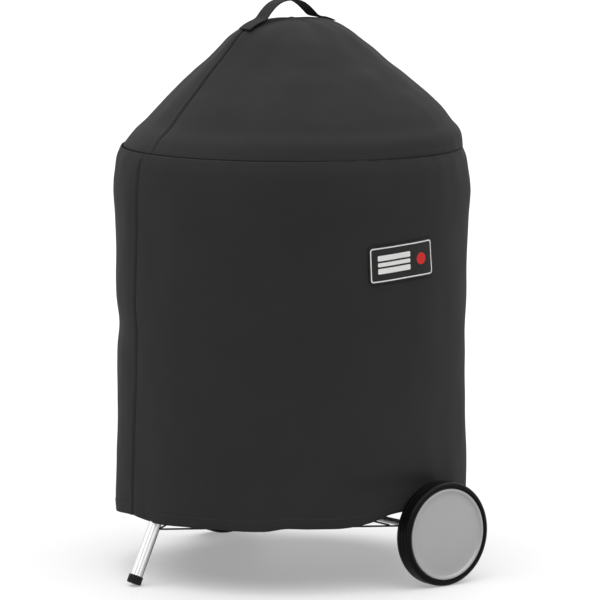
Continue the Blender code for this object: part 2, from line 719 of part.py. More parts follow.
bucket_low = BUCKET_TOP - BUCKET_DEPTH
flange_under = BUCKET_TOP - BUCKET_WALL
turned(
    "ash_bucket",
    [(HOLDER_R, flange_under), (BUCKET_R, flange_under), (BUCKET_R - 0.004, bucket_low + 0.012),
     (BUCKET_R - 0.012, bucket_low), (0, bucket_low)],
    BUCKET, ROUND, wall=BUCKET_WALL,
)
pull_turn = LEVER_AZIMUTH + SWEEP_TRAVEL / 2
pull_z = BUCKET_TOP - 0.040
pull_in = BUCKET_R + 0.0006
pull = [(pull_in, -0.030)] + arc((BUCKET_R + 0.026, -0.022), 0.008, -90, 0, 3)
pull += arc((BUCKET_R + 0.026, 0.022), 0.008, 0, 90, 3) + [(pull_in, 0.030)]
smooth(wire(
    "bucket_handle", [[(x, y, 0) for x, y in pull]], 0.0030, STEEL,
    location=(0, 0, pull_z), rotation=(0, 0, pull_turn),
), 50)

# ---- grates ----------------------------------------------------------------------------------


def chord(radius, offset):
    return math.sqrt(max(radius**2 - offset**2, 0.0))


def rod_rows(radius, pitch, half_x=None):
    """Rods along X, spaced evenly, that end on a circle or at half_x."""
    rows = []
    count = int((radius - pitch * 0.35) / pitch)
    for number in range(-count, count + 1):
        y = number * pitch
        x = chord(radius, y)
        if half_x:
            x = min(x, half_x)
        rows.append((-x, x, y))
    return rows


coal_ring = wire(
    "charcoal_grate", [[(x, y, 0) for x, y in arc((0, 0), COAL_R, 0, 345, 24)]],
    GRATE_RING, STEEL, loop=True, location=(0, 0, COAL_Z),
)
rod_up = GRATE_RING * 0.5
coal_rods = [[(a, y, rod_up), (b, y, rod_up)] for a, b, y in rod_rows(COAL_R, COAL_PITCH)]
rods = wire("charcoal_rods", coal_rods, GRATE_ROD, None, resolution=0, location=(0, 0, COAL_Z))
joined(coal_ring, rods)

# Middle of the cooking grate: two hinge rails with the frame's arcs between them.
rail_y = chord(COOK_R, HINGE_X)
edge_turn = math.degrees(math.atan2(rail_y, HINGE_X))
middle_loop = arc((0, 0), COOK_R, edge_turn, 180 - edge_turn, 9)
middle_loop += arc((0, 0), COOK_R, 180 + edge_turn, 360 - edge_turn, 9)
CORNER = 0.007
middle = wire(
    "cooking_grate", [rounded([(x, y, 0) for x, y in middle_loop], CORNER, loop=True)],
    GRATE_RING, STEEL, loop=True, location=(0, 0, COOK_Z),
)
middle_rods = [
    [(a, y, rod_up), (b, y, rod_up)] for a, b, y in rod_rows(COOK_R, GRATE_PITCH, HINGE_X)
]
rods = wire("cooking_rods", middle_rods, GRATE_ROD, None, resolution=0, location=(0, 0, COOK_Z))
# A loop stands on a rod near each end, to lift the grate by.
LOOP_HALF, LOOP_RISE = 0.035, 0.024
loop_y = GRATE_PITCH * int((rail_y - 0.025) / GRATE_PITCH)
loops = []
for y in (loop_y, -loop_y):
    loop = [(-LOOP_HALF, y, rod_up), (-LOOP_HALF, y, LOOP_RISE), (LOOP_HALF, y, LOOP_RISE),
            (LOOP_HALF, y, rod_up)]
    loops.append(rounded(loop, 0.008))
lifting_loops = wire("lifting_loops", loops, GRATE_ROD, None, location=(0, 0, COOK_Z))
joined(middle, rods, lifting_loops)

HINGE_FIT = 0.0008
SLEEVE_R = GRATE_RING + HINGE_FIT + 0.0022
SLEEVE_HALF = 0.004
sleeve_y = (GRATE_PITCH * 4.5, -GRATE_PITCH * 4.5)
flap_in = HINGE_X + SLEEVE_R + 0.0022
for side, turn in (("left", math.pi), ("right", 0.0)):
    hinge = empty(
        f"flap_{side}_hinge", Matrix.Rotation(turn, 3, "Z") @ Vector((HINGE_X, 0, COOK_Z)),
        (0, 0, turn), KETTLE,
    )
    inner_y = chord(COOK_R, flap_in) - 0.004
    start = math.degrees(math.atan2(inner_y, flap_in))
    outline = arc((-HINGE_X, 0), COOK_R, -start, start, 11)
    loop = [(flap_in - HINGE_X, -inner_y)] + outline[1:-1] + [(flap_in - HINGE_X, inner_y)]
    flap = wire(
        f"grate_flap_{side}", [rounded([(x, y, 0) for x, y in loop], CORNER, loop=True)],
        GRATE_RING, STEEL, loop=True, parent=hinge,
    )
    rows = []
    flap_rows = int(inner_y / GRATE_PITCH)
    for number in range(-flap_rows, flap_rows + 1):
        y = number * GRATE_PITCH
        end = chord(COOK_R, y) - HINGE_X
        if end - (flap_in - HINGE_X) > 0.012:
            rows.append([(flap_in - HINGE_X, y, rod_up), (end, y, rod_up)])
    rods = wire(f"flap_rods_{side}", rows, GRATE_ROD, None, resolution=0, parent=hinge)
    joined(flap, rods)
    knuckles = []
    for y in sleeve_y:
        knuckles.append(tube(
            f"knuckle_{side}", SLEEVE_R, GRATE_RING + HINGE_FIT, y - SLEEVE_HALF,
            y + SLEEVE_HALF, None, 10, rotation=(-math.pi / 2, 0, 0), parent=hinge,
        ))
    joined(flap, gather(f"knuckles_{side}", knuckles, None, parent=hinge))

# ---- lid -------------------------------------------------------------------------------------

LID_STEPS = 9


def lid_outline(offset=0.0):
    """Outer face of the lid from its top to its edge, moved outwards by offset."""
    a, b = LID_A + offset, LID_DOME + offset
    turn = [math.pi / 2 * (1 - i / (LID_STEPS - 1)) for i in range(LID_STEPS)]
    dome = [(a * math.cos(t), LID_BASE + b * math.sin(t)) for t in turn]
    dome[0] = (0.0, LID_BASE + b)
    return dome + [(a, RIM_Z + GAP)]


def lid_height(r, offset=0.0):
    a, b = LID_A + offset, LID_DOME + offset
    return LID_BASE + b * math.sqrt(1 - (r / a) ** 2)


LID_OUTSIDE = turned("lid_outside", lid_outline(GAP * 2) + [(0, RIM_Z)], None, ROUND)
lid = turned("lid", lid_outline(), ENAMEL, ROUND, wall=KETTLE_WALL)


def on_lid(name, tilt, azimuth):
    """An empty on the lid's outer face, tilt up from its edge, its Z pointing straight out."""
    r, z = LID_A * math.cos(tilt), LID_BASE + LID_DOME * math.sin(tilt)
    lean = math.atan2(r / LID_A**2, (z - LID_BASE) / LID_DOME**2)
    at = (r * math.cos(azimuth), r * math.sin(azimuth), z)
    return empty(name, at, Euler((0, lean, azimuth)), KETTLE)


# Damper over four holes, on the far side from the user.
damper_axis = on_lid("damper_axis", VENT_TILT, math.pi / 2)
DAMPER_LIFT, DAMPER_THICK = 0.0008, 0.0016
holes = []
for number in range(4):
    turn = math.radians(45 + 90 * number)
    holes.append(cylinder(
        "vent_hole", 0.0095, -0.03, 0.03, None, 10,
        location=(0.025 * math.cos(turn), 0.025 * math.sin(turn), 0),
    ))
holes.append(cylinder("rivet_hole", 0.0032, -0.03, 0.03, None, 8))
vents = gather("damper_holes", holes, None, parent=damper_axis)
cut(lid, vents)
crown = [(DAMPER_R * i / 2, DAMPER_LIFT + DAMPER_THICK) for i in range(3)]
crown = [(r, z - r**2 / (2 * DAMPER_DOME)) for r, z in crown]
damper_solid = crown + [(r, z - DAMPER_THICK) for r, z in reversed(crown)]
damper = turned("lid_damper", damper_solid, ALUMINIUM, 20, parent=damper_axis)
tab_low = crown[-1][1] - DAMPER_THICK + 0.0002
tab = block(
    "damper_tab", (0.022, 0.0025, 0.014), None, parent=damper_axis,
    location=(DAMPER_R - 0.009, 0, tab_low + 0.007 + 0.0008),
)
joined(damper, tab)
cut(damper, vents)
rivet_top = DAMPER_LIFT + DAMPER_THICK + GAP
rivet_foot = -KETTLE_WALL - GAP - FACET
turned(
    "damper_rivet",
    [(0, rivet_top + 0.0026), (0.0050, rivet_top + 0.0014), (0.0062, rivet_top),
     (0.0026, rivet_top), (0.0026, rivet_foot), (0.0055, rivet_foot),
     (0.0055, rivet_foot - 0.0014), (0, rivet_foot - 0.0014)],
    STEEL, 8, parent=damper_axis,
)

# Thermometer on the user's side.
gauge_axis = on_lid("gauge_axis", GAUGE_TILT, -math.pi / 2)
STEM_R, STEM_LENGTH = 0.0030, 0.045
stem_hole = cylinder("stem_hole", STEM_R + 0.0006, -0.03, 0.03, None, 12, parent=gauge_axis)
cut(lid, stem_hole)
cup_wall, seat = 0.0016, 0.0006
turned(
    "thermometer_case",
    [(0, seat + 0.003), (GAUGE_R - cup_wall, seat + 0.003),
     (GAUGE_R - cup_wall, GAUGE_DEPTH), (GAUGE_R, GAUGE_DEPTH), (GAUGE_R, seat + 0.002),
     (GAUGE_R - 0.003, seat), (STEM_R, seat), (STEM_R, -STEM_LENGTH + 0.003),
     (0, -STEM_LENGTH)],
    STEEL, 16, parent=gauge_axis,
)
face = seat + 0.003 + GAP
inside_r = GAUGE_R - cup_wall - GAP
cylinder("thermometer_dial", inside_r, face, face + 0.0008, DIAL, 16, parent=gauge_axis)
needle_low = face + 0.0008 + 0.0012
# At rest it points to the cold end of the scale, low on the user's left.
cold = math.radians(-135.0)
needle = block(
    "thermometer_needle", (0.0022, inside_r * 0.95, 0.0008), NEEDLE,
    location=Matrix.Rotation(cold, 3, "Z") @ Vector((0, inside_r * 0.28, needle_low + 0.0004)),
    rotation=(0, 0, cold), parent=gauge_axis,
)
hub = cylinder("needle_hub", 0.0030, needle_low - 0.0006, needle_low + 0.0012, None, 8,
               parent=gauge_axis)
joined(needle, hub)
glass_low = GAUGE_DEPTH - 0.0034
cylinder("thermometer_glass", inside_r, glass_low, glass_low + 0.0015, GLASS, 16,
         parent=gauge_axis)
turned(
    "thermometer_bezel",
    [(inside_r - 0.003, GAUGE_DEPTH + GAP), (inside_r - 0.0025, GAUGE_DEPTH + 0.0022),
     (GAUGE_R + 0.0015, GAUGE_DEPTH + 0.0018), (GAUGE_R + 0.0020, GAUGE_DEPTH - 0.003),
     (GAUGE_R + GAP, GAUGE_DEPTH - 0.003), (GAUGE_R + GAP, GAUGE_DEPTH + GAP)],
    STEEL, 16, closed=True, parent=gauge_axis,
)

# Handle: two posts and a bar, bolted through the lid, with a heat shield round the posts.
HANDLE_TOP = LID_TOP + LID_HANDLE_RISE
BAR_H, BAR_W = 0.022, 0.030
POST_R = 0.011
SHIELD_Z = LID_TOP + 0.020
bar = block(
    "lid_handle", (2 * LID_HANDLE_HALF + 0.044, BAR_W, BAR_H), NYLON, bevel=0.006,
    location=(0, 0, HANDLE_TOP - BAR_H / 2),
)
posts, bores = [], []
for sign in (-1, 1):
    at = (sign * LID_HANDLE_HALF, 0, 0)
    posts.append(cylinder("post", POST_R, LID_TOP - 0.02, HANDLE_TOP - 0.006, None, location=at))
    bores.append(cylinder("bolt_bore", SCREW_R + 0.0004, LID_TOP - 0.04, LID_TOP + 0.026, None,
                          12, location=at))
joined(bar, gather("handle_posts", posts, None))
bolt_bores = gather("bolt_bores", bores, None)
cut(bar, LID_OUTSIDE, bolt_bores)
cut(lid, bolt_bores)
smooth(bar, 40)
head_top = lid_height(LID_HANDLE_HALF + 0.006, -KETTLE_WALL) - GAP - FACET
for number, sign in ((1, -1), (2, 1)):
    turned(
        f"handle_bolt_{number}",
        [(0, LID_TOP + 0.024), (SCREW_R, LID_TOP + 0.024), (SCREW_R, head_top),
         (0.0060, head_top), (0.0050, head_top - 0.0035), (0, head_top - 0.0035)],
        STEEL, 12, location=(sign * LID_HANDLE_HALF, 0, 0),
    )
shield = block(
    "heat_shield", (2 * LID_HANDLE_HALF + 0.060, 0.070, 0.0012), STEEL,
    location=(0, 0, SHIELD_Z),
)
shield_holes = []
for sign in (-1, 1):
    shield_holes.append(cylinder("shield_hole", POST_R + GAP, -0.01, 0.01, None, 16,
                                 location=(sign * LID_HANDLE_HALF, 0, SHIELD_Z)))
cut(shield, gather("shield_holes", shield_holes, None))

# Hook inside the lid, for hanging it on the bowl's edge.
HOOK_X = 0.150
hook_top = lid_height(HOOK_X + 0.010, -KETTLE_WALL) - 0.0045
hook_run = [(HOOK_X - 0.024, 0, hook_top), (HOOK_X - 0.004, 0, hook_top),
            (HOOK_X - 0.002, 0, hook_top - 0.004), (HOOK_X - 0.002, 0, hook_top - 0.028),
            (HOOK_X + 0.004, 0, hook_top - 0.035), (HOOK_X + 0.016, 0, hook_top - 0.035),
            (HOOK_X + 0.022, 0, hook_top - 0.028)]
smooth(wire("lid_hook", [hook_run], 0.0030, STEEL), 50)

# ---- cover -----------------------------------------------------------------------------------


def cone_point(out, up):
    """A point of the cone: out is its share of the shoulder's radius, up of the cone's height."""
    return (SHOULDER_R * out, SHOULDER_Z + (APEX_Z - SHOULDER_Z) * up)


# The fabric lies on the handle's ends, falls straight, and turns over the shoulder seam.
CONE_SHAPE = [(0, 1), (0.225, 0.960), (0.37, 0.865), (0.61, 0.578), (0.84, 0.290)]
cone = [cone_point(*p) for p in CONE_SHAPE]
cone += [(SHOULDER_R - 0.015, SHOULDER_Z + 0.0251), (SHOULDER_R, SHOULDER_Z + GAP)]
turned("cover_cone", cone, COVER, ROUND, wall=COVER_WALL)

waist = COVER_R - 0.005
skirt = [
    (SHOULDER_R, SHOULDER_Z - GAP), (COVER_R - 0.005, SHOULDER_Z - 0.023),
    (COVER_R, RIM_Z - 0.010), (waist, RIM_Z - 0.090), (waist, (RIM_Z + HEM_Z) / 2),
    (waist, 2 * WHEEL_R + 0.10), (COVER_R - 0.002, 2 * WHEEL_R + 0.007), (COVER_R, HEM_Z),
]
skirt_sheet = bpy.data.meshes.new("cover_skirt")
skirt_sheet.from_pydata(
    [(r, 0, z) for r, z in skirt], [(i, i + 1) for i in range(len(skirt) - 1)], []
)
cover_skirt = add("cover_skirt", skirt_sheet, COVER)
screw = cover_skirt.modifiers.new("turn", "SCREW")
screw.steps = 2 * ROUND
screw.render_steps = 2 * ROUND
screw.use_merge_vertices = True
screw.merge_threshold = 0.00001
cover_skirt = settled(cover_skirt)
# The hem is drawn in flat behind the wheels.
flat_y = WHEEL_Y - HALF_WIDE - WHEEL_CLEAR
for vertex in cover_skirt.data.vertices:
    if vertex.co.z < 2 * WHEEL_R + 0.02:
        vertex.co.y = max(-flat_y, min(flat_y, vertex.co.y))
thick = cover_skirt.modifiers.new("wall", "SOLIDIFY")
thick.thickness = COVER_WALL
thick.offset = -1
thick.use_even_offset = True
smooth(cover_skirt)

# Carrying strap, sewn to the cone on each side of its top.


def cone_height(r):
    """Height of the cone's outer face at radius r."""
    for (r1, z1), (r2, z2) in zip(cone, cone[1:]):
        if r1 <= r <= r2:
            return z1 + (z2 - z1) * (r - r1) / (r2 - r1)
    return cone[-1][1]


strap_top = APEX_Z + STRAP_RISE
lie = STRAP_THICK + 0.0030
bend_r = SHOULDER_R * CONE_SHAPE[2][0]
strap_path = [
    (-bend_r - 0.012, cone_height(bend_r + 0.012) + lie), (-bend_r, cone_height(bend_r) + lie),
    (-0.110, cone_height(0.110) + lie),
    (-0.092, APEX_Z + 0.004), (-0.074, APEX_Z + 0.020), (-0.050, APEX_Z + 0.0325),
    (-0.022, strap_top), (0.012, strap_top), (0.038, APEX_Z + 0.031),
    (0.062, APEX_Z + 0.017), (0.080, APEX_Z + 0.000), (0.096, cone_height(0.096) + lie),
    (0.116, cone_height(0.116) + lie),
]
ribbon = bmesh.new()
rows = [
    [ribbon.verts.new((x, y, z)) for y in (-STRAP_WIDTH / 2, STRAP_WIDTH / 2)]
    for x, z in strap_path
]
for one, two in zip(rows, rows[1:]):
    ribbon.faces.new((one[0], two[0], two[1], one[1]))
strap_mesh = bpy.data.meshes.new("cover_strap")
ribbon.to_mesh(strap_mesh)
ribbon.free()
strap = add("cover_strap", strap_mesh, WEBBING)
thick = strap.modifiers.new("thickness", "SOLIDIFY")
thick.thickness = STRAP_THICK
thick.offset = -1
thick.use_even_offset = True

# Woven label patch, sewn on the user's side of the skirt.
patch = bmesh.new()
columns = 9
label_r = waist + GAP + LABEL_THICK + 0.0006
half_turn = LABEL_W / 2 / label_r
rows = []
for i in range(columns):
    turn = -math.pi / 2 + LABEL_X / label_r + half_turn * (2 * i / (columns - 1) - 1)
    x, y = label_r * math.cos(turn), label_r * math.sin(turn)
    rows.append([patch.verts.new((x, y, LABEL_Z + s * LABEL_H / 2)) for s in (-1, 1)])
for one, two in zip(rows, rows[1:]):
    patch.faces.new((one[0], two[0], two[1], one[1]))
label_mesh = bpy.data.meshes.new("cover_label")
patch.to_mesh(label_mesh)
patch.free()
label = add("cover_label", label_mesh, LABEL)
thick = label.modifiers.new("thickness", "SOLIDIFY")
thick.thickness = LABEL_THICK
thick.offset = -1
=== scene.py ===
import json
import math

import bmesh
import bpy
import numpy as np
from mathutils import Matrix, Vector, noise


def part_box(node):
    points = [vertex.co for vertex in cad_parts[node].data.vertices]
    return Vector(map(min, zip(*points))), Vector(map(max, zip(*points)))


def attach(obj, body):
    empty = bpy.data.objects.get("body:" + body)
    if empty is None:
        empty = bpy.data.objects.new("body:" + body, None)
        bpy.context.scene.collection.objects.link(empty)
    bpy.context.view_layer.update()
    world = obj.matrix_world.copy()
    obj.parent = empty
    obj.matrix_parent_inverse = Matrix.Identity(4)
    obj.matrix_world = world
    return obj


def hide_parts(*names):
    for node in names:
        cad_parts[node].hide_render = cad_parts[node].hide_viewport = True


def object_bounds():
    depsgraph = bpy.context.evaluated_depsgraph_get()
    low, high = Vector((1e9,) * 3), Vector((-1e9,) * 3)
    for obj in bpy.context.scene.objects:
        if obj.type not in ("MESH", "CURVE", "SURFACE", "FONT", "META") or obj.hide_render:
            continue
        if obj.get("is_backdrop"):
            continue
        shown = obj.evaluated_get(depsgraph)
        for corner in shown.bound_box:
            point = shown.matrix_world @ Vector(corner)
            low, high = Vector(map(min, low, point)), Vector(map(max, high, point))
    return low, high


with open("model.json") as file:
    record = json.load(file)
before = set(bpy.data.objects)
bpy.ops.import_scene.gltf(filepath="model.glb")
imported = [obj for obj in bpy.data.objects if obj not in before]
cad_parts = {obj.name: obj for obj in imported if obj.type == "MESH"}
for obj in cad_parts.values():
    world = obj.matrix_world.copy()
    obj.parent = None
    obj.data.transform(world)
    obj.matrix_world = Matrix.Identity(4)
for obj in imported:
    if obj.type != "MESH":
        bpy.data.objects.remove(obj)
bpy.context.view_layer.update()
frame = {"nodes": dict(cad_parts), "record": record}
nodes = frame["nodes"]
joints = {joint["name"]: joint for joint in frame["record"]["behaviour"]["joints"]}

# ---- Where the grill stands -------------------------------------------------------------------
# A plain pale floor, which glows a little, under a white sky and one wide soft light overhead.
# The camera stands well back on the user's side, turned towards the single front leg.

bowl_low, bowl_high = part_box("bowl")
axis_x = (bowl_low.x + bowl_high.x) / 2


def in_scene(name, data):
    """A new object with this data, linked into the scene."""
    made = bpy.data.objects.new(name, data)
    bpy.context.scene.collection.objects.link(made)
    return made


def added(tree, kind, inputs=(), **settings):
    """A new node with its settings, its inputs fed by sockets or plain values."""
    made = tree.nodes.new(kind)
    for label, value in settings.items():
        setattr(made, label, value)
    for label, value in dict(inputs).items():
        if isinstance(value, bpy.types.NodeSocket):
            tree.links.new(value, made.inputs[label])
        else:
            made.inputs[label].default_value = value
    return made


camera_data = bpy.data.cameras.new("camera")
camera_data.sensor_width = 36.0
camera_data.lens = 276.5
camera = in_scene("camera", camera_data)
camera.location = (axis_x - 5.466, -7.150, 1.735)
aim = Vector((axis_x + 0.0116, -0.0127, 0.5273))
camera.rotation_euler = (aim - camera.location).to_track_quat("-Z", "Y").to_euler()
bpy.context.scene.camera = camera
bpy.context.scene.view_settings.view_transform = "Standard"

sky = bpy.data.worlds.new("white_studio")
sky.use_nodes = True
bpy.context.scene.world = sky
sky_tree = sky.node_tree
seen = added(sky_tree, "ShaderNodeLightPath").outputs
direct = added(sky_tree, "ShaderNodeMath", {0: seen["Is Camera Ray"], 1: seen["Is Glossy Ray"]},
               operation="MAXIMUM")
# To Min is what lights the grill, To Max what shows behind it and in its gloss.
strength = added(sky_tree, "ShaderNodeMapRange",
                 {"To Min": 0.04, "To Max": 1.0, "Value": direct.outputs[0]})
background = sky_tree.nodes["Background"]
sky_tree.links.new(strength.outputs["Result"], background.inputs["Strength"])
background.inputs["Color"].default_value = (1, 1, 1, 1)


def soft_sun(name, towards, power, spread):
    """A wide soft light from far away that shines along a direction."""
    data = bpy.data.lights.new(name, "SUN")
    data.energy = power
    data.angle = math.radians(spread)
    lamp = in_scene(name, data)
    lamp.rotation_euler = Vector(towards).to_track_quat("-Z", "Y").to_euler()


soft_sun("overhead_light", (0.06, 0.10, -1.0), 4.6, 100)

floor_mesh = bpy.data.meshes.new("floor")
FLOOR = 40
floor_mesh.from_pydata([(x, y, 0) for x, y in ((-FLOOR, -FLOOR), (FLOOR, -FLOOR),
                                               (FLOOR, FLOOR), (-FLOOR, FLOOR))],
                       [], [(0, 1, 2, 3)])
floor = in_scene("floor", floor_mesh)
floor_paint = bpy.data.materials.new("pale_floor")
floor_paint.use_nodes = True
floor_shader = floor_paint.node_tree.nodes["Principled BSDF"]
for label, value in (
    ("Base Color", (0.50, 0.50, 0.50, 1)), ("Emission Color", (1, 1, 1, 1)),
    ("Emission Strength", 0.34), ("Roughness", 0.55), ("Specular IOR Level", 0.2),
):
    floor_shader.inputs[label].default_value = value
floor_mesh.materials.append(floor_paint)
floor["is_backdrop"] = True

# ---- Bowl -------------------------------------------------------------------------------------
# Deep-drawn steel with a flat rim and three slots in its floor, glazed black inside and out. The
# grate brackets are welded inside it, and the three leg sockets and two handle plates outside.


def node_group(name, sockets):
    """A shader group with named sockets, its first node and its last."""
    group = bpy.data.node_groups.new(name, "ShaderNodeTree")
    for label, kind, way, value in sockets:
        socket = group.interface.new_socket(label, in_out=way, socket_type=f"NodeSocket{kind}")
        if value is not None:
            socket.default_value = value
    return group, group.nodes.new("NodeGroupInput"), group.nodes.new("NodeGroupOutput")


def math_node(tree, operation, *values):
    """A Math node fed by sockets or plain numbers."""
    return added(tree, "ShaderNodeMath", enumerate(values), operation=operation).outputs[0]


# Shade drift: a slow lighter and darker change over the surface.
drift, drift_in, drift_out = node_group("shade_drift", [
    ("Vector", "Vector", "INPUT", None), ("Scale", "Float", "INPUT", 4.0),
    ("Amount", "Float", "INPUT", 0.2), ("Color", "Color", "INPUT", (0.5, 0.5, 0.5, 1)),
    ("Color", "Color", "OUTPUT", None),
])
slow = added(drift, "ShaderNodeTexNoise", {
    "Detail": 4.0, "Roughness": 0.62, "Vector": drift_in.outputs["Vector"],
    "Scale": drift_in.outputs["Scale"],
})
spread = math_node(drift, "SUBTRACT", slow.outputs["Fac"], 0.5)
spread = math_node(drift, "MULTIPLY", spread, drift_in.outputs["Amount"])
gain = math_node(drift, "ADD", math_node(drift, "MULTIPLY", spread, 2.0), 1.0)
shaded = added(drift, "ShaderNodeVectorMath", {0: drift_in.outputs["Color"]}, operation="SCALE")
drift.links.new(gain, shaded.inputs["Scale"])
drift.links.new(shaded.outputs[0], drift_out.inputs["Color"])

# Grain: fine unevenness that may be drawn out along one axis, as brushing and moulding leave it.
grain, grain_in, grain_out = node_group("grain", [
    ("Vector", "Vector", "INPUT", None), ("Stretch", "Vector", "INPUT", (1.0, 1.0, 1.0)),
    ("Scale", "Float", "INPUT", 900.0), ("Low", "Float", "INPUT", 0.0),
    ("High", "Float", "INPUT", 1.0), ("Value", "Float", "OUTPUT", None),
])
drawn = added(grain, "ShaderNodeVectorMath",
              {0: grain_in.outputs["Vector"], 1: grain_in.outputs["Stretch"]},
              operation="MULTIPLY")
fine = added(grain, "ShaderNodeTexNoise", {
    "Detail": 3.0, "Vector": drawn.outputs[0], "Scale": grain_in.outputs["Scale"],
})
ranged = added(grain, "ShaderNodeMapRange", {
    "From Min": 0.25, "From Max": 0.75, "Value": fine.outputs["Fac"],
    "To Min": grain_in.outputs["Low"], "To Max": grain_in.outputs["High"],
})
grain.links.new(ranged.outputs["Result"], grain_out.inputs["Value"])


def placed(tree, group, **values):
    """One of the shared effects in a material's tree."""
    return added(tree, "ShaderNodeGroup", values, node_tree=group)


def bumped(tree, shader, height, distance, strength=1.0):
    """Feeds a height to the shader's normal."""
    bump = added(tree, "ShaderNodeBump",
                 {"Distance": distance, "Strength": strength, "Height": height})
    tree.links.new(bump.outputs["Normal"], shader.inputs["Normal"])


def finish(name, colour, roughness, metallic=0.0, drifts=0.15, **more):
    """A new material with a slow drift in its colour: it, its tree, shader and coordinates."""
    made = bpy.data.materials.new(name)
    made.use_nodes = True
    tree = made.node_tree
    shader = tree.nodes["Principled BSDF"]
    shader.inputs["Roughness"].default_value = roughness
    shader.inputs["Metallic"].default_value = metallic
    for label, value in more.items():
        shader.inputs[label.replace("_", " ")].default_value = value
    where = tree.nodes.new("ShaderNodeTexCoord").outputs
    shade = placed(tree, drift, Vector=where["Object"], Scale=5.0, Amount=drifts,
                   Color=(*colour, 1.0))
    tree.links.new(shade.outputs["Color"], shader.inputs["Base Color"])
    return made, tree, shader, where


def surfaced(name, colour, rough, metallic=0.0, scale=900.0, stretch=(1, 1, 1), depth=0.00002,
             drifts=0.15, **more):
    """A material whose fine grain changes its gloss and its surface. rough is (least, most)."""
    made, tree, shader, where = finish(name, colour, rough[0], metallic, drifts, **more)
    gloss = placed(tree, grain, Vector=where["Object"], Stretch=stretch, Scale=scale * 0.4,
                   Low=rough[0], High=rough[1])
    tree.links.new(gloss.outputs["Value"], shader.inputs["Roughness"])
    surface = placed(tree, grain, Vector=where["Object"], Stretch=stretch, Scale=scale)
    bumped(tree, shader, surface.outputs["Value"], depth)
    return made


finishes = {
    "black_enamel": surfaced("black_glaze", (0.006, 0.006, 0.0065), (0.10, 0.20), scale=160.0,
                             depth=0.00010, Coat_Weight=0.5, Coat_Roughness=0.06),
    "leg_aluminium": surfaced("satin_aluminium", (0.86, 0.86, 0.87), (0.24, 0.40), 1.0,
                              scale=260.0, stretch=(6, 6, 0.4), depth=0.000004, drifts=0.04),
    "plated_steel": surfaced("nickel_plate", (0.56, 0.56, 0.57), (0.22, 0.38), 1.0,
                             scale=700.0, drifts=0.10),
    "black_wire": surfaced("coated_wire", (0.010, 0.010, 0.010), (0.38, 0.55), scale=600.0),
    "black_nylon": surfaced("moulded_nylon", (0.006, 0.006, 0.0062), (0.28, 0.42), scale=1500.0,
                            depth=0.00004, Specular_IOR_Level=0.16),
    "tyre_rubber": surfaced("tyre_compound", (0.0030, 0.0030, 0.0030), (0.30, 0.44),
                            scale=1100.0, depth=0.00003, Specular_IOR_Level=0.07),
    "hubcap_grey": surfaced("satin_grey_paint", (0.36, 0.36, 0.36), (0.38, 0.50), 0.15,
                            scale=2200.0, depth=0.00002, drifts=0.05),
    "bucket_aluminium": surfaced("spun_aluminium", (0.66, 0.66, 0.67), (0.28, 0.45), 1.0,
                                 scale=220.0, stretch=(0.4, 0.4, 8), depth=0.00004),
    "needle_red": surfaced("red_lacquer", (0.52, 0.02, 0.015), (0.30, 0.42)),
    "gauge_glass": surfaced("gauge_crystal", (0.96, 0.98, 0.98), (0.02, 0.05), drifts=0.02,
                            Transmission_Weight=1.0, IOR=1.45, Alpha=0.35),
}


def mesh_object(name, mesh, material, body, *stands_for):
    """Puts a finished mesh in the scene, riding on its body in its nodes' place."""
    piece = in_scene(name, mesh)
    if material:
        mesh.materials.clear()
        mesh.materials.append(material)
    if stands_for:
        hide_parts(*stands_for)
    if body:
        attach(piece, body)
    return piece


def frame_along(axis):
    """Rotation that stands a turned shape's own Z along an axis."""
    return Vector(axis).to_track_quat("Z", "Y").to_matrix()


def mesh_of(name, made):
    """Turns a bmesh into a mesh with its faces out."""
    bmesh.ops.recalc_face_normals(made, faces=made.faces)
    mesh = bpy.data.meshes.new(name)
    made.to_mesh(mesh)
    made.free()
    return mesh


def lathe(name, outline, at, axis=(0, 0, 1), sides=96, sharp=32):
    """A closed solid turned round an axis from an outline of (radius, height) points."""
    made = bmesh.new()
    turn = frame_along(axis)
    rings = []
    for r, h in outline:
        if r < 1e-6:
            rings.append([made.verts.new(Vector(at) + turn @ Vector((0, 0, h)))])
        else:
            rings.append([
                made.verts.new(Vector(at) + turn @ Vector((r * math.cos(a), r * math.sin(a), h)))
                for a in (2 * math.pi * i / sides for i in range(sides))
            ])
    pairs = list(zip(rings, rings[1:]))
    if len(rings[0]) > 1 and len(rings[-1]) > 1:
        pairs.append((rings[-1], rings[0]))
    for one, two in pairs:
        for i in range(sides):
            k = (i + 1) % sides
            corners = [one[i % len(one)], two[i % len(two)], two[k % len(two)], one[k % len(one)]]
            corners = list(dict.fromkeys(corners))
            if len(corners) > 2:
                made.faces.new(corners)
    mesh = mesh_of(name, made)
    mesh.shade_smooth()
    mesh.set_sharp_from_angle(angle=math.radians(sharp))
    return mesh


def wall_of(outline, thickness):
    """Closes an outer outline into a sheet of one thickness, measured inwards."""
    inner = []
    for i, (r, h) in enumerate(outline):
        r1, h1 = outline[max(i - 1, 0)]
        r2, h2 = outline[min(i + 1, len(outline) - 1)]
        long = math.hypot(r2 - r1, h2 - h1)
        out_r, out_h = (h1 - h2) / long, (r2 - r1) / long
        inner.append((max(r - out_r * thickness, 0.0) if r else 0.0, h - out_h * thickness))
    return outline + inner[::-1]


def settled(piece):
    """The piece's mesh with its modifiers applied; the piece itself goes."""
    bpy.context.view_layer.update()
    graph = bpy.context.evaluated_depsgraph_get()
    mesh = bpy.data.meshes.new_from_object(piece.evaluated_get(graph))
    bpy.data.objects.remove(piece)
    return mesh


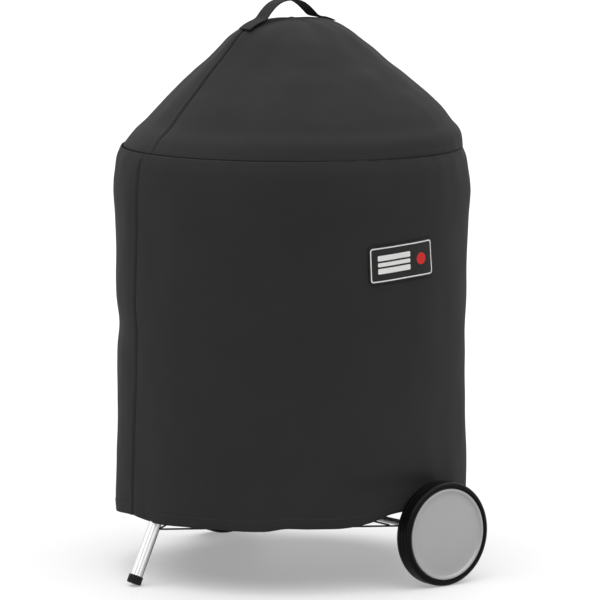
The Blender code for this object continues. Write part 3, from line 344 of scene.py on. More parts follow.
def cut_with(mesh, cutters):
    """The mesh with closed cutter meshes taken out of it."""
    piece = in_scene("cut_piece", mesh)
    tools = []
    for cutter in cutters:
        tool = in_scene("cutter", cutter)
        tools.append(tool)
        taken = piece.modifiers.new("cut", "BOOLEAN")
        taken.operation = "DIFFERENCE"
        taken.solver = "EXACT"
        taken.object = tool
    made = settled(piece)
    for tool in tools:
        bpy.data.objects.remove(tool)
    made.shade_smooth()
    made.set_sharp_from_angle(angle=math.radians(32))
    return made


def slotted_bar(turn, near, far, width, low, high):
    """A round-ended upright bar that points away from the kettle's axis, for cutting a slot."""
    outline = [(far - width / 2 + width / 2 * math.cos(a), width / 2 * math.sin(a))
               for a in np.linspace(-math.pi / 2, math.pi / 2, 13)]
    outline += [(near + width / 2 + width / 2 * math.cos(a), width / 2 * math.sin(a))
                for a in np.linspace(math.pi / 2, 3 * math.pi / 2, 13)]
    made = bmesh.new()
    rows = []
    for z in (low, high):
        rows.append([made.verts.new((
            axis_x + x * math.cos(turn) - y * math.sin(turn),
            x * math.sin(turn) + y * math.cos(turn), z,
        )) for x, y in outline])
    made.faces.new(rows[0])
    made.faces.new(rows[1])
    for i in range(len(outline)):
        k = (i + 1) % len(outline)
        made.faces.new((rows[0][i], rows[0][k], rows[1][k], rows[1][i]))
    return mesh_of("slot", made)


STEEL_WALL = 0.0020
RIM_WIDE = 0.006
SLOT_TURN = math.radians(265.0)       # first floor slot; the lever stands midway between two
rim_r = (bowl_high.x - bowl_low.x) / 2
rim_z, bowl_floor = bowl_high.z, bowl_low.z
under_rim = rim_z - STEEL_WALL
bowl_outline = [(rim_r, under_rim), (rim_r - RIM_WIDE + 0.002, under_rim)]
bowl_outline += [
    ((rim_r - RIM_WIDE) * math.cos(t), rim_z - (rim_z - bowl_floor) * math.sin(t))
    for t in np.linspace(0.022, math.pi / 2, 40)
]
bowl_outline[-1] = (0.0, bowl_floor)
bowl_profile = wall_of(bowl_outline[::-1], -STEEL_WALL)
axis_at = (axis_x, 0, 0)
floor_slots = [
    slotted_bar(SLOT_TURN + 2 * math.pi * i / 3, 0.042, 0.100, 0.026, bowl_floor - 0.02,
                rim_z - 0.1)
    for i in range(3)
]
bowl_mesh = cut_with(lathe("kettle_bowl", bowl_profile, axis_at, sides=128), floor_slots)
mesh_object("kettle_bowl", bowl_mesh, finishes["black_enamel"], "root", "bowl")

# ---- Legs -------------------------------------------------------------------------------------
# Three drawn aluminium tubes, pushed into the sockets under the bowl. The front one stands in a
# ribbed black cap; the other two end in the axle blocks.


def along_node(node, at=None, axis=None):
    """A long node's axis and a point on it, and how far it reaches along and round the axis."""
    points = np.array([v.co for v in nodes[node].data.vertices])
    if axis is None:
        at = points.mean(0)
        axis = np.linalg.svd(points - at)[2][0]
        axis = axis * math.copysign(1, axis[2])
    far = (points - np.array(at)) @ np.array(axis)
    round_it = np.linalg.norm(points - np.array(at) - np.outer(far, axis), axis=1)
    return Vector(at), Vector(axis), far.min(), far.max(), round_it.max()


# Dark lines painted along the tubes: where round them from the camera's heading below, how wide in
# degrees, and how dark. They are painted reflections: those facing the camera copy streaks of
# reflection, the widest and darkest the black cover's reflection at the right edge; those round the
# back repeat them.
PAINTED_REFLECTION_LINES = (
    (-76, 10, 0.45), (-17, 6, 0.60), (10, 5, 0.45), (38, 7, 0.42), (68, 15, 0.86),
    (112, 6, 0.40), (150, 9, 0.55), (188, 6, 0.45), (232, 8, 0.50),
)
# The camera's heading round the tubes, from which the painted reflections are placed.
REFLECTIONS_FROM_HEADING = -127.4
# The legs' aluminium; below, its colour is multiplied by the painted reflections written on each
# tube.
drawn_tube = surfaced("drawn_tube", (0.88, 0.88, 0.89), (0.24, 0.38), 1.0, scale=260.0,
                      stretch=(6, 6, 0.4), depth=0.000004, drifts=0.04)
tube_tree = drawn_tube.node_tree
tube_shader = tube_tree.nodes["Principled BSDF"]
tube_lines = added(tube_tree, "ShaderNodeAttribute", attribute_name="tube_lines")
plain_colour = tube_shader.inputs["Base Color"].links[0].from_socket
lined = added(tube_tree, "ShaderNodeMix", {0: 1.0, 6: plain_colour, 7: tube_lines.outputs["Color"]},
              data_type="RGBA", blend_type="MULTIPLY")
tube_tree.links.new(lined.outputs[2], tube_shader.inputs["Base Color"])


def with_painted_reflections(mesh, at, axis):
    """Writes the painted reflections round a tube's axis, line by line, as how bright its colour
    is.
    """
    bright = mesh.attributes.new("tube_lines", "FLOAT_COLOR", "POINT")
    for vertex in mesh.vertices:
        out = vertex.co - at
        out -= axis * out.dot(axis)
        turn, kept = math.degrees(math.atan2(out.y, out.x)) - REFLECTIONS_FROM_HEADING, 1.0
        for place, width, dark in PAINTED_REFLECTION_LINES:
            apart = (turn - place + 180) % 360 - 180
            kept *= 1 - dark * math.exp(-(apart / width) ** 2)
        bright.data[vertex.index].color = (kept, kept, kept, 1.0)
    return mesh


TUBE_WALL = 0.0015
for name in ("leg_front", "leg_wheel_left", "leg_wheel_right"):
    at, axis, low, high, tube_r = along_node(name)
    edge = 0.0004
    outline = [
        (tube_r - TUBE_WALL, low + edge), (tube_r - TUBE_WALL + edge, low), (tube_r - edge, low),
        (tube_r, low + edge), (tube_r, high - edge), (tube_r - edge, high),
        (tube_r - TUBE_WALL + edge, high), (tube_r - TUBE_WALL, high - edge),
    ]
    # Each tube carries the painted reflections in its colour.
    tube_mesh = with_painted_reflections(lathe(f"{name}_tube", outline, at, axis, 96), at, axis)
    mesh_object(f"{name}_tube", tube_mesh, drawn_tube, "root", name)

leg_at, leg_axis = along_node("leg_front")[:2]
low, high, cap_r = along_node("foot_cap", leg_at, leg_axis)[2:]
tube_r = along_node("leg_front")[4]
CAP_RIBS, RIB_DEEP = 12, 0.0014
cap_rows = [
    (0.0, low), (cap_r - 0.0022, low), (cap_r - 0.0004, low + 0.0012), (cap_r, low + 0.0030),
    (cap_r, high - 0.0042), (cap_r - 0.0001, high - 0.0030), (cap_r - 0.0002, high - 0.0010),
    (cap_r - 0.0008, high), (tube_r + 0.0004, high), (tube_r + 0.0004, high - 0.004),
    (0.0, high - 0.004),
]
cap_mesh = lathe("ribbed_foot", cap_rows, leg_at, leg_axis, CAP_RIBS * 8)
turned_back = frame_along(leg_axis).transposed()
for vertex in cap_mesh.vertices:
    local = turned_back @ (vertex.co - leg_at)
    r, height = math.hypot(local.x, local.y), local.z
    if r > tube_r + 0.0006 and height < high - 0.0035:
        # The ribs stand all round below a plain collar.
        wave = math.sin(CAP_RIBS * math.atan2(local.y, local.x))
        sunk = RIB_DEEP * min(max(0.5 - 2.2 * wave, 0.0), 1.0)
        local = Vector((local.x * (r - sunk) / r, local.y * (r - sunk) / r, height))
        vertex.co = leg_at + frame_along(leg_axis) @ local
    vertex.co.z = max(vertex.co.z, 0.0)
mesh_object("ribbed_foot", cap_mesh, finishes["black_nylon"], "root", "foot_cap")

# ---- Wheels -----------------------------------------------------------------------------------
# A moulded core turns on the fixed axle. A black tyre is pressed on it, and a shallow domed grey
# cap with a raised rim ring is snapped into its outer side.

HUB_RING, DOME_FALL = 0.0070, 0.0046
for side, sign in (("left", 1), ("right", -1)):
    low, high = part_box(f"tyre_{side}")
    middle = (low + high) / 2
    tyre_r, half = (high.z - low.z) / 2, (high.y - low.y) / 2
    out = (0, sign, 0)
    rim = tyre_r - 0.011
    half_tread = [
        (rim, half - 0.0020), (rim + 0.0008, half - 0.0008), (rim + 0.0026, half - 0.0001),
        (rim + 0.0042, half), (tyre_r - 0.0050, half - 0.0008), (tyre_r - 0.0022, half - 0.0024),
        (tyre_r - 0.0006, half - 0.0050), (tyre_r, half - 0.0080), (tyre_r, 0.0058),
        (tyre_r - 0.0012, 0.0052), (tyre_r - 0.0012, 0.0036), (tyre_r, 0.0030),
    ]
    tread = half_tread + [(r, -h) for r, h in reversed(half_tread)]
    mesh_object(f"rubber_tyre_{side}", lathe(f"rubber_tyre_{side}", tread, middle, out, 144),
                finishes["tyre_rubber"], f"wheel_{side}", f"tyre_{side}")
    rim -= 0.0003
    bore = 0.0052
    core = [
        (bore, 0.006), (0.015, 0.006), (0.015, 0.002), (rim - 0.012, 0.002),
        (rim - 0.008, 0.0105), (rim, 0.0105), (rim, -half + 0.003), (rim - 0.004, -half + 0.003),
        (rim - 0.008, -0.003), (0.018, -0.003), (0.016, -half - 0.001), (bore, -half - 0.001),
    ]
    mesh_object(f"moulded_core_{side}", lathe(f"moulded_core_{side}", core, middle, out, 96),
                finishes["black_nylon"], f"wheel_{side}", f"wheel_core_{side}")
    cap_low, cap_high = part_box(f"hubcap_{side}")
    cap_r = (cap_high.x - cap_low.x) / 2
    face = max(abs(cap_low.y - middle.y), abs(cap_high.y - middle.y))
    ring_in = cap_r - HUB_RING
    disc = [(ring_in * i / 8, face - 0.0004 - DOME_FALL * (i / 8) ** 2) for i in range(8)] + [
        (ring_in - 0.0008, face - DOME_FALL), (ring_in + 0.0006, face - DOME_FALL + 0.0012),
        (ring_in + 0.0014, face - 0.0010), (ring_in + 0.0028, face - 0.0001),
        (cap_r - 0.0022, face), (cap_r - 0.0008, face - 0.0005), (cap_r, face - 0.0016),
        (cap_r, face - 0.0066), (0, face - 0.0066),
    ]
    mesh_object(f"wheel_cap_{side}", lathe(f"wheel_cap_{side}", disc, middle, out, 144, 60),
                finishes["hubcap_grey"], f"wheel_{side}", f"hubcap_{side}")

# ---- Ash bucket -------------------------------------------------------------------------------
# Spun aluminium with a rolled lip, hung under the collar that guides the ash down from the slots.

low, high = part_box("ash_bucket")
bucket_r = (high.x - low.x) / 2 - 0.006
bucket = [
    (0, low.z), (bucket_r - 0.014, low.z), (bucket_r - 0.0085, low.z + 0.0022),
    (bucket_r - 0.0048, low.z + 0.0080), (bucket_r - 0.0036, low.z + 0.018),
    (bucket_r, high.z - 0.0040), (bucket_r + 0.0008, high.z - 0.0019),
    (bucket_r + 0.006, high.z - 0.0015),
]
mesh_object("spun_bucket", lathe("spun_bucket", wall_of(bucket, -0.0015), axis_at, sides=128),
            finishes["bucket_aluminium"], "bucket", "ash_bucket")

# ---- Lid --------------------------------------------------------------------------------------
# Deep-drawn steel in the same black glaze. It carries the handle on its bolts with the heat
# shield round the posts, the four-hole damper, the thermometer and the hook inside.

low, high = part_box("lid")
lid_r, lid_side = (high.x - low.x) / 2, low.z + 0.014
dome = [
    (lid_r * math.sin(t), lid_side + (high.z - lid_side) * math.cos(t))
    for t in np.linspace(0, math.pi / 2, 44)
]
dome += [(lid_r, low.z + 0.0012), (lid_r - 0.0003, low.z)]
lid_profile = wall_of(dome, STEEL_WALL)


def plain_cutter(at, axis, radius, reach):
    """A round cutter through a point along an axis."""
    return lathe("cutter", [(0, -reach), (radius, -reach), (radius, reach), (0, reach)], at,
                 axis, 32)


damper_at = Vector(joints["damper_turn"]["pos_m"])
damper_axis = Vector(joints["damper_turn"]["axis"])
needle_at = Vector(joints["needle_turn"]["pos_m"])
gauge_axis = -Vector(joints["needle_turn"]["axis"])
lid_cutters = [plain_cutter(damper_at, damper_axis, 0.0032, 0.02)]
side_axis = Vector((1, 0, 0))
other_axis = damper_axis.cross(side_axis)
for i in range(4):
    turn = math.radians(45 + 90 * i)
    hole_at = damper_at + 0.025 * (math.cos(turn) * side_axis + math.sin(turn) * other_axis)
    lid_cutters.append(plain_cutter(hole_at, damper_axis, 0.0095, 0.02))
lid_cutters.append(plain_cutter(needle_at, gauge_axis, 0.0036, 0.03))
for name in ("handle_bolt_1", "handle_bolt_2"):
    bolt_low, bolt_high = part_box(name)
    lid_cutters.append(plain_cutter(((bolt_low.x + bolt_high.x) / 2, 0, high.z), (0, 0, 1),
                                    0.0030, 0.012))
lid_mesh = cut_with(lathe("kettle_lid", lid_profile, axis_at, sides=128), lid_cutters)
mesh_object("kettle_lid", lid_mesh, finishes["black_enamel"], "lid", "lid")

# Thermometer: a stepped scale ring painted on its white dial, under the bezel's glass.
dial_paint, tree, shader, where = finish("dial_scale", (0.80, 0.80, 0.78), 0.42, drifts=0.03)


def dot_with(tree, source, direction):
    """The part of a position along one direction, from the thermometer's middle."""
    moved = added(tree, "ShaderNodeVectorMath", {0: source, 1: needle_at}, operation="SUBTRACT")
    dot = added(tree, "ShaderNodeVectorMath", {0: moved.outputs[0], 1: direction},
                operation="DOT_PRODUCT")
    return dot.outputs["Value"]


dial_right = Vector((1, 0, 0))
dial_up = gauge_axis.cross(dial_right)
dial_x = dot_with(tree, where["Object"], dial_right)
dial_y = dot_with(tree, where["Object"], dial_up)
dial_angle = math_node(tree, "ARCTAN2", dial_x, dial_y)
ticks = math_node(tree, "FRACT", math_node(tree, "MULTIPLY", dial_angle, 36 / (2 * math.pi)))
tick = math_node(tree, "LESS_THAN", math_node(tree, "ABSOLUTE", math_node(
    tree, "SUBTRACT", ticks, 0.5)), 0.10)
dial_r = math_node(tree, "SQRT", math_node(
    tree, "ADD", math_node(tree, "POWER", dial_x, 2.0), math_node(tree, "POWER", dial_y, 2.0)))
ring = math_node(tree, "MULTIPLY", math_node(tree, "GREATER_THAN", dial_r, 0.0185),
                 math_node(tree, "LESS_THAN", dial_r, 0.0222))
swept_part = math_node(tree, "LESS_THAN", math_node(tree, "ABSOLUTE", dial_angle), 2.40)
ink = math_node(tree, "MULTIPLY", math_node(tree, "MULTIPLY", tick, ring), swept_part)
inked = added(tree, "ShaderNodeMix", {
    "Factor": ink, "A": shader.inputs["Base Color"].links[0].from_socket,
    "B": (0.01, 0.01, 0.01, 1),
}, data_type="RGBA")
tree.links.new(inked.outputs["Result"], shader.inputs["Base Color"])
finishes["dial_white"] = dial_paint

# ---- Cover cloth ------------------------------------------------------------------------------
# Black polyester, plain weave, coated on its inner side. One cloth makes the cone, the skirt and
# their felled seams. The weave and the soft shade changes are shared with the webbing and label.

# Weave: threads that pass over and under one another, from coordinates in metres.
weave, weave_in, weave_out = node_group("weave", [
    ("Vector", "Vector", "INPUT", None), ("Threads", "Float", "INPUT", 1000.0),
    ("Height", "Float", "OUTPUT", None),
])
scaled = added(weave, "ShaderNodeVectorMath", {
    0: weave_in.outputs["Vector"], "Scale": weave_in.outputs["Threads"],
}, operation="SCALE")
parted = added(weave, "ShaderNodeSeparateXYZ", {0: scaled.outputs[0]})
crowns = []
for label in ("X", "Y"):
    angle = math_node(weave, "MULTIPLY", parted.outputs[label], math.pi)
    crowns.append(math_node(weave, "ABSOLUTE", math_node(weave, "SINE", angle)))
over = added(weave, "ShaderNodeTexChecker", {"Scale": 1.0, "Vector": scaled.outputs[0]})
mixed = added(weave, "ShaderNodeMix",
              {"Factor": over.outputs["Fac"], "A": crowns[0], "B": crowns[1]})
weave.links.new(mixed.outputs["Result"], weave_out.inputs["Height"])


def cloth_material(name, colour, threads, depth, sheen, drifts=0.16):
    """Woven thread: a weave along the piece's own UV map, and a slow drift of shade."""
    made, tree, shader, where = finish(
        name, colour, 0.85, drifts=drifts, Sheen_Weight=sheen, Sheen_Roughness=0.5,
        Specular_IOR_Level=0.10,
    )
    threads_node = placed(tree, weave, Vector=where["UV"], Threads=threads)
    bumped(tree, shader, threads_node.outputs["Height"], depth, 0.5)
    return made


cover_cloth = cloth_material("cover_cloth", (0.0225, 0.0225, 0.0230), 1100.0, 0.00018, 0.02)

# ---- Cover cone -------------------------------------------------------------------------------
# The cone is cut as two half cones with a felled seam on each side. It rests on the ends of the
# lid's handle and falls to the shoulder seam, where it is sewn to the skirt.

SHEET = 0.0016            # the cloth with its coating
cone_low, cone_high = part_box("cover_cone")
shoulder_r = (cone_high.y - cone_low.y) / 2
shoulder_z, apex_z = cone_low.z + 0.0012, cone_high.z
SEAM_WIDE, SEAM_RAISED, SEAM_GROOVE = 0.012, 0.0010, 0.0055
CONE_SEAM = math.radians(178.0)
SLACK_SIDE = math.radians(-37.0)      # the side to which the cone bulges

# Share of the shoulder's radius, share of the cone's height, bulge to the slack side.
CONE_SHAPE = np.array([
    (0.000, 1.000, 0.000), (0.120, 0.990, 0.004), (0.232, 0.958, 0.006), (0.368, 0.863, 0.004),
    (0.449, 0.767, 0.007), (0.524, 0.672, 0.009), (0.611, 0.577, 0.012), (0.692, 0.481, 0.014),
    (0.770, 0.386, 0.016), (0.838, 0.294, 0.017), (0.898, 0.199, 0.015), (0.964, 0.103, 0.011),
    (1.000, 0.000, 0.003),
])


def eased(x, points, values):
    """A smooth curve through points, without overshoot."""
    x, points, values = np.asarray(x, float), np.asarray(points), np.asarray(values)
    steps = np.diff(values) / np.diff(points)
    slopes = np.concatenate([[steps[0]], (steps[1:] + steps[:-1]) / 2, [steps[-1]]])
    flat = np.concatenate([[False], steps[1:] * steps[:-1] <= 0, [False]])
    slopes[flat] = 0.0
    i = np.clip(np.searchsorted(points, x, side="right") - 1, 0, len(points) - 2)
    wide = points[i + 1] - points[i]
    s = np.clip((x - points[i]) / wide, 0, 1)
    return (
        (2 * s**3 - 3 * s**2 + 1) * values[i] + (s**3 - 2 * s**2 + s) * wide * slopes[i]
        + (3 * s**2 - 2 * s**3) * values[i + 1] + (s**3 - s**2) * wide * slopes[i + 1]
    )


def seam_lift(along, deep=SEAM_GROOVE):
    """Height of the cloth beside a seam: a raised felled band, and a crease at its edge."""
    along = np.asarray(along, float)
    band = SEAM_RAISED / (1 + np.exp((-along - SEAM_WIDE) / 0.0008)) * (along < 0)
    crease = -deep * np.exp(-((along - 0.0010) / 0.0024) ** 2)
    pull = -0.0016 * np.exp(-((along - 0.004) / 0.016) ** 2)
    return band + crease + pull


def soft_noise(x, y, z, scale, seed):
    """Slow smooth unevenness, -1 to 1, the same on every run."""
    flat = [
        noise.noise(Vector((a * scale + seed, b * scale, c * scale)))
        for a, b, c in zip(np.ravel(x), np.ravel(y), np.ravel(z))
    ]
    return np.reshape(flat, np.shape(x))


def columns(near, count):
    """Shares of a turn for a sheet's columns, closer together beside the two seams."""
    fine = np.array([
        -0.016, -0.013, -0.011, -0.006, -0.0015, 0, 0.001, 0.0022, 0.004, 0.008, 0.013,
    ])
    fine = fine / (2 * math.pi * near)
    plain = np.linspace(0, 0.5, count // 2 + 1)[:-1]
    plain = plain[(plain > fine[-1] * 1.4) & (plain < 0.5 + fine[0] * 1.4)]
    half = np.concatenate([fine, plain])
    return np.concatenate([half, half + 0.5])


def sheet_mesh(name, points, uv, material, pole=None, closed=True):
    """A sheet from rows of points [row, column, xyz], its outer face out. pole closes its top."""
    rows, wide = points.shape[:2]
    verts = [tuple(p) for p in points.reshape(-1, 3)]
    faces, corners = [], []
    around = wide if closed else wide - 1
    for i in range(rows - 1):
        for j in range(around):
            k = (j + 1) % wide
            faces.append((i * wide + j, (i + 1) * wide + j, (i + 1) * wide + k, i * wide + k))
            last = uv[i, wide] if closed and k == 0 else uv[i, k]
            last_low = uv[i + 1, wide] if closed and k == 0 else uv[i + 1, k]
            corners += [uv[i, j], uv[i + 1, j], last_low, last]
    if pole is not None:
        verts.append(tuple(pole))
        for j in range(wide):
            k = (j + 1) % wide
            faces.append((len(verts) - 1, j, k))
            corners += [(0.0, 0.0), uv[0, j], uv[0, k]]
    mesh = bpy.data.meshes.new(name)
    mesh.from_pydata(verts, [], faces)
    layer = mesh.uv_layers.new(name="UVMap")
    layer.data.foreach_set("uv", np.array(corners, np.float32).ravel())
    mesh.materials.append(material)
    mesh.shade_smooth()
    return in_scene(name, mesh)


def thickened(piece, thickness, offset=-1.0):
    """Gives a sheet its thickness, inwards."""
    wall = piece.modifiers.new("thickness", "SOLIDIFY")
    wall.thickness = thickness
    wall.offset = offset
    wall.use_even_offset = False
    return piece


def cone_point(turn, out):
    """Points of the cone's outer face. turn is in radians from +X, out is the radius's share."""
    turn, out = np.broadcast_arrays(np.asarray(turn, float), np.asarray(out, float))
    shares, rises, bulges = CONE_SHAPE.T
    r = out * shoulder_r
    z = shoulder_z + (apex_z - 0.002 - shoulder_z) * eased(out, shares, rises)
    r = r + eased(out, shares, bulges) * np.cos(turn - SLACK_SIDE)
    # The handle's bar under the cloth holds it up along its own length.
    z = z + 0.010 * (np.cos(turn) ** 2 - 0.5) * np.exp(-(((out - 0.32) / 0.15) ** 2))
    ease = np.sin(math.pi * np.clip(out, 0, 1)) ** 0.7
    # The cloth hangs in a few wide, shallow hollows between the handle and the shoulder.
    folds = 0.0022 * np.cos(6 * turn + 0.5) + 0.0014 * np.cos(11 * turn + 5 * out + 2.0)
    x, y = r * np.cos(turn), r * np.sin(turn)
    folds = folds + 0.0042 * soft_noise(x, y, z, 9.0, 3.0) + 0.0015 * soft_noise(x, y, z, 24.0, 7.0)
    # One hollow runs from beside the front seam towards the label's side.
    folds = folds - 0.0040 * np.exp(-(((turn - 3.62) / 0.22) ** 2) - ((out - 0.60) / 0.16) ** 2)
    folds = folds + 0.0030 * np.exp(-(((turn - 4.70) / 0.35) ** 2) - ((out - 0.70) / 0.22) ** 2)
    # Pucker just above the shoulder seam, where the cone is eased onto the skirt.
    pucker = 0.0008 * np.sin(46 * turn) * np.exp(-((1 - out) / 0.05)) * np.sin(3 * turn + 1)
    side = (turn - CONE_SEAM + math.pi / 2) % math.pi - math.pi / 2
    seam = seam_lift(side * shoulder_r) * np.clip((out - 0.20) / 0.15, 0, 1)
    seam = seam * (1 - 0.6 * np.clip((out - 0.93) / 0.07, 0, 1))
    away = folds * ease + pucker + seam
    away = away - 0.0012 * np.exp(-((1 - out) * shoulder_r / 0.004) ** 2)
    return np.stack([
        axis_x + (r + away * 0.6) * np.cos(turn), (r + away * 0.6) * np.sin(turn), z + away * 0.8,
    ], -1)


cone_turn = CONE_SEAM + 2 * math.pi * columns(shoulder_r, 224)
cone_out = np.concatenate([np.linspace(0.03, 0.95, 58), np.linspace(0.958, 1.0, 9)])
grid_turn, grid_out = np.meshgrid(cone_turn, cone_out)
cone_points = cone_point(grid_turn, grid_out)
uv_turn = np.concatenate([cone_turn, cone_turn[:1] + 2 * math.pi])
cone_uv = np.stack(np.meshgrid(uv_turn, cone_out), -1)
cone_uv = np.stack([
    cone_uv[..., 1] * shoulder_r * np.cos(cone_uv[..., 0] * 0.8),
    cone_uv[..., 1] * shoulder_r * np.sin(cone_uv[..., 0] * 0.8),
], -1)
cover_top = sheet_mesh("cover_top", cone_points, cone_uv, cover_cloth,
                       pole=cone_point(0.0, 0.0))
thickened(cover_top, SHEET)
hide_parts("cover_cone")
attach(cover_top, "cover")

# ---- Cover skirt ------------------------------------------------------------------------------
# A wide tube of the same cloth from the shoulder seam to the hem, closed by two felled seams.
# It is slack round the bowl, slightly waisted, and its hem is held in behind the two wheels.

skirt_low, skirt_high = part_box("cover_skirt")
wide_r = (skirt_high.x - skirt_low.x) / 2
wheel_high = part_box("tyre_right")[1]
hem_flat = -wheel_high.y - 0.0024      # how far out the hem may go on the wheels' sides
hem_z = skirt_low.z
HEM_TALL, HEM_RAISED = 0.022, 0.0009
SKIRT_TALL = 0.715
VIEW_TURN = math.radians(-127.4)

# Share of the drop from shoulder to hem, and the skirt's radius against its widest.
SKIRT_SHAPE = np.array([
    (0.000, -0.0135), (0.012, -0.0100), (0.030, -0.0050), (0.062, -0.0020), (0.100, 0.0000),
    (0.135, -0.0004), (0.200, -0.0032), (0.430, -0.0052), (0.520, -0.0075), (0.700, -0.0050),
    (0.850, -0.0024), (0.960, -0.0008), (1.000, -0.0030),
])
# Angle from the user's left in degrees, and how far the hem is lifted there.
HEM_WAVE = np.array([
    (-180, 0.004), (-130, -0.001), (-95, 0.000), (-80, -0.002), (-63, 0.004), (-52, 0.000),
    (-27, 0.0045), (-9, 0.0045), (-1, 0.0110), (6, 0.0095), (20, 0.011), (28, 0.016),
    (35, 0.026), (45, 0.028), (70, 0.018), (95, 0.002), (125, 0.006), (150, 0.000), (180, 0.004),
])


def hem_lift(turn):
    """How far the hem's edge is above its lowest, round the skirt."""
    angle = np.degrees(np.asarray(turn) - VIEW_TURN)
    angle = (angle + 180) % 360 - 180
    return eased(angle, *HEM_WAVE.T)


def skirt_seam(down):
    """Turn of the skirt's front seam, which drifts a little down its length."""
    return np.radians(174.3 - 3.5 * np.clip(down / 0.42, 0, 1) - 1.6 * np.clip(down, 0, 1))


def skirt_point(turn, down, out=0.0):
    """Points of the skirt's outer face. down is 0 at the shoulder and 1 at the hem."""
    turn, down = np.broadcast_arrays(np.asarray(turn, float), np.asarray(down, float))
    hem = hem_z + 0.001 + hem_lift(turn)
    z = shoulder_z - 0.0006 + (hem - shoulder_z + 0.0006) * down
    r = wide_r + eased(down, *SKIRT_SHAPE.T)
    hang = np.clip(down / 0.12, 0, 1) ** 1.5
    # Wide upright folds, which drift and fade on their way down.
    angle = turn - VIEW_TURN
    folds = 0.0030 * np.cos(7 * angle + math.pi + 0.5 * np.sin(3.2 * down))
    folds = folds + 0.0014 * np.cos(12 * angle + 1.1 + 2.0 * down)
    folds = folds * (0.55 + 0.45 * np.sin(2.6 * down + 0.4))
    x, y = r * np.cos(turn), r * np.sin(turn)
    folds = folds + 0.0045 * soft_noise(x, y, z * 0.55, 7.0, 11.0)
    folds = folds + 0.0014 * soft_noise(x, y, z * 0.7, 21.0, 5.0)
    # A dent at the waist on the front leg's side, and short creases under the shoulder.
    turned_by = (angle + math.pi) % (2 * math.pi) - math.pi
    folds = folds - 0.0050 * np.exp(-((turned_by + 1.45) / 0.30) ** 2 - ((down - 0.49) / 0.05) ** 2)
    creases = 0.0010 * np.cos(31 * turn + 1.3 * np.sin(5 * turn)) * np.exp(-down / 0.06)
    hem_ripple = 0.0016 * np.cos(23 * turn + 0.7) * np.clip((down - 0.86) / 0.14, 0, 1) ** 2
    seam_turn = skirt_seam(down)
    side = (turn - seam_turn + math.pi / 2) % math.pi - math.pi / 2
    seam = seam_lift(side * wide_r, 0.0015)
    hem_band = HEM_RAISED * np.clip(
        (down * SKIRT_TALL - (SKIRT_TALL - HEM_TALL)) / 0.0008, 0, 1)
    r = r + folds * hang + (creases + seam) * np.clip(down / 0.02, 0, 1) + hem_ripple + hem_band
    r = r + out
    x, y = r * np.cos(turn), r * np.sin(turn)
    # Behind the wheels the cloth lies flat against their inner faces.
    limit = hem_flat + out + 0.030 * np.clip((z - wheel_high.z - 0.004) / 0.05, 0, 1)
    over = np.abs(y) - limit
    soft = 0.0035
    y = np.sign(y) * (np.abs(y) - soft * np.logaddexp(0, over / soft) - 0.0004)
    return np.stack([axis_x + x, y, z], -1)


skirt_down = np.concatenate([
    [0, 0.004, 0.009], np.linspace(0.015, 0.962, 88), [0.9675, 0.9688, 0.9702, 0.980, 0.990, 1.0],
])
skirt_share = columns(wide_r, 264)
grid_share, grid_down = np.meshgrid(skirt_share, skirt_down)
grid_turn = skirt_seam(grid_down) + 2 * math.pi * grid_share
skirt_points = skirt_point(grid_turn, grid_down)
uv_share = np.concatenate([skirt_share, skirt_share[:1] + 1.0])
skirt_uv = np.stack(np.meshgrid(uv_share, skirt_down), -1)
skirt_uv = skirt_uv * np.array([2 * math.pi * wide_r, shoulder_z - hem_z])
cover_skirt = sheet_mesh("cover_skirt_cloth", skirt_points, skirt_uv, cover_cloth)
thickened(cover_skirt, SHEET)
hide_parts("cover_skirt")
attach(cover_skirt, "cover")

# ---- Carrying strap ---------------------------------------------------------------------------
# A flat black web with a weave of its own. Each end lies on the cone past its top and is folded
# under and sewn; between them it stands up in a loose bow.

strap_low, strap_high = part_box("cover_strap")
web_half = (strap_high.y - strap_low.y) / 2
WEB_THICK, WEB_LEAN = 0.0020, 0.0035


def cone_top(x):
    """Height of the cone's outer face over the axis, at x from it."""
    outs = np.linspace(0, 0.6, 200)
    points = cone_point(np.where(x < 0, math.pi, 0.0), outs)
    return float(np.interp(abs(x), np.abs(points[:, 0] - axis_x), points[:, 2]))


lie = WEB_THICK + 0.0012
top_z = strap_high.z - 0.0055
# Along the strap: where it lies on the cone its height is None.
BOW = [
    (-0.1140, None), (-0.1030, None), (-0.0930, None), (-0.0850, -0.0420), (-0.0780, -0.0385),
    (-0.0710, -0.0335), (-0.0600, -0.0220), (-0.0460, -0.0100), (-0.0320, -0.0028),
    (-0.0160, 0.0000), (0.0000, 0.0000), (0.0160, -0.0032), (0.0300, -0.0110),
    (0.0420, -0.0210), (0.0540, -0.0315), (0.0630, -0.0395), (0.0720, None), (0.0800, None),
    (0.0950, None),
]
bow = [
    (x, max(cone_top(x) + lie, -1.0 if rise is None else top_z + rise)) for x, rise in BOW
]
bow = np.array(bow)
bow_along = np.concatenate([[0], np.cumsum(np.hypot(*np.diff(bow, axis=0).T))])
strap_along = np.linspace(0, bow_along[-1], 150)
strap_x, strap_z = (eased(strap_along, bow_along, bow[:, i]) for i in (0, 1))
strap_across = np.linspace(-1, 1, 13)
grid_along, grid_across = np.meshgrid(strap_along, strap_across, indexing="ij")
leaning = WEB_LEAN * np.sin(math.pi * grid_along / bow_along[-1])
selvedge = -0.0005 * np.clip((np.abs(grid_across) - 0.80) / 0.2, 0, 1) ** 2
web_points = np.stack([
    axis_x + np.interp(grid_along, strap_along, strap_x), web_half * grid_across + leaning,
    np.interp(grid_along, strap_along, strap_z) + selvedge,
], -1)
web_uv = np.stack([grid_along, grid_across * web_half], -1)
webbing = cloth_material("black_webbing", (0.020, 0.020, 0.021), 620.0, 0.00055, 0.03, 0.35)
strap = sheet_mesh("carry_strap", web_points[:, ::-1], web_uv[:, ::-1], webbing, closed=False)
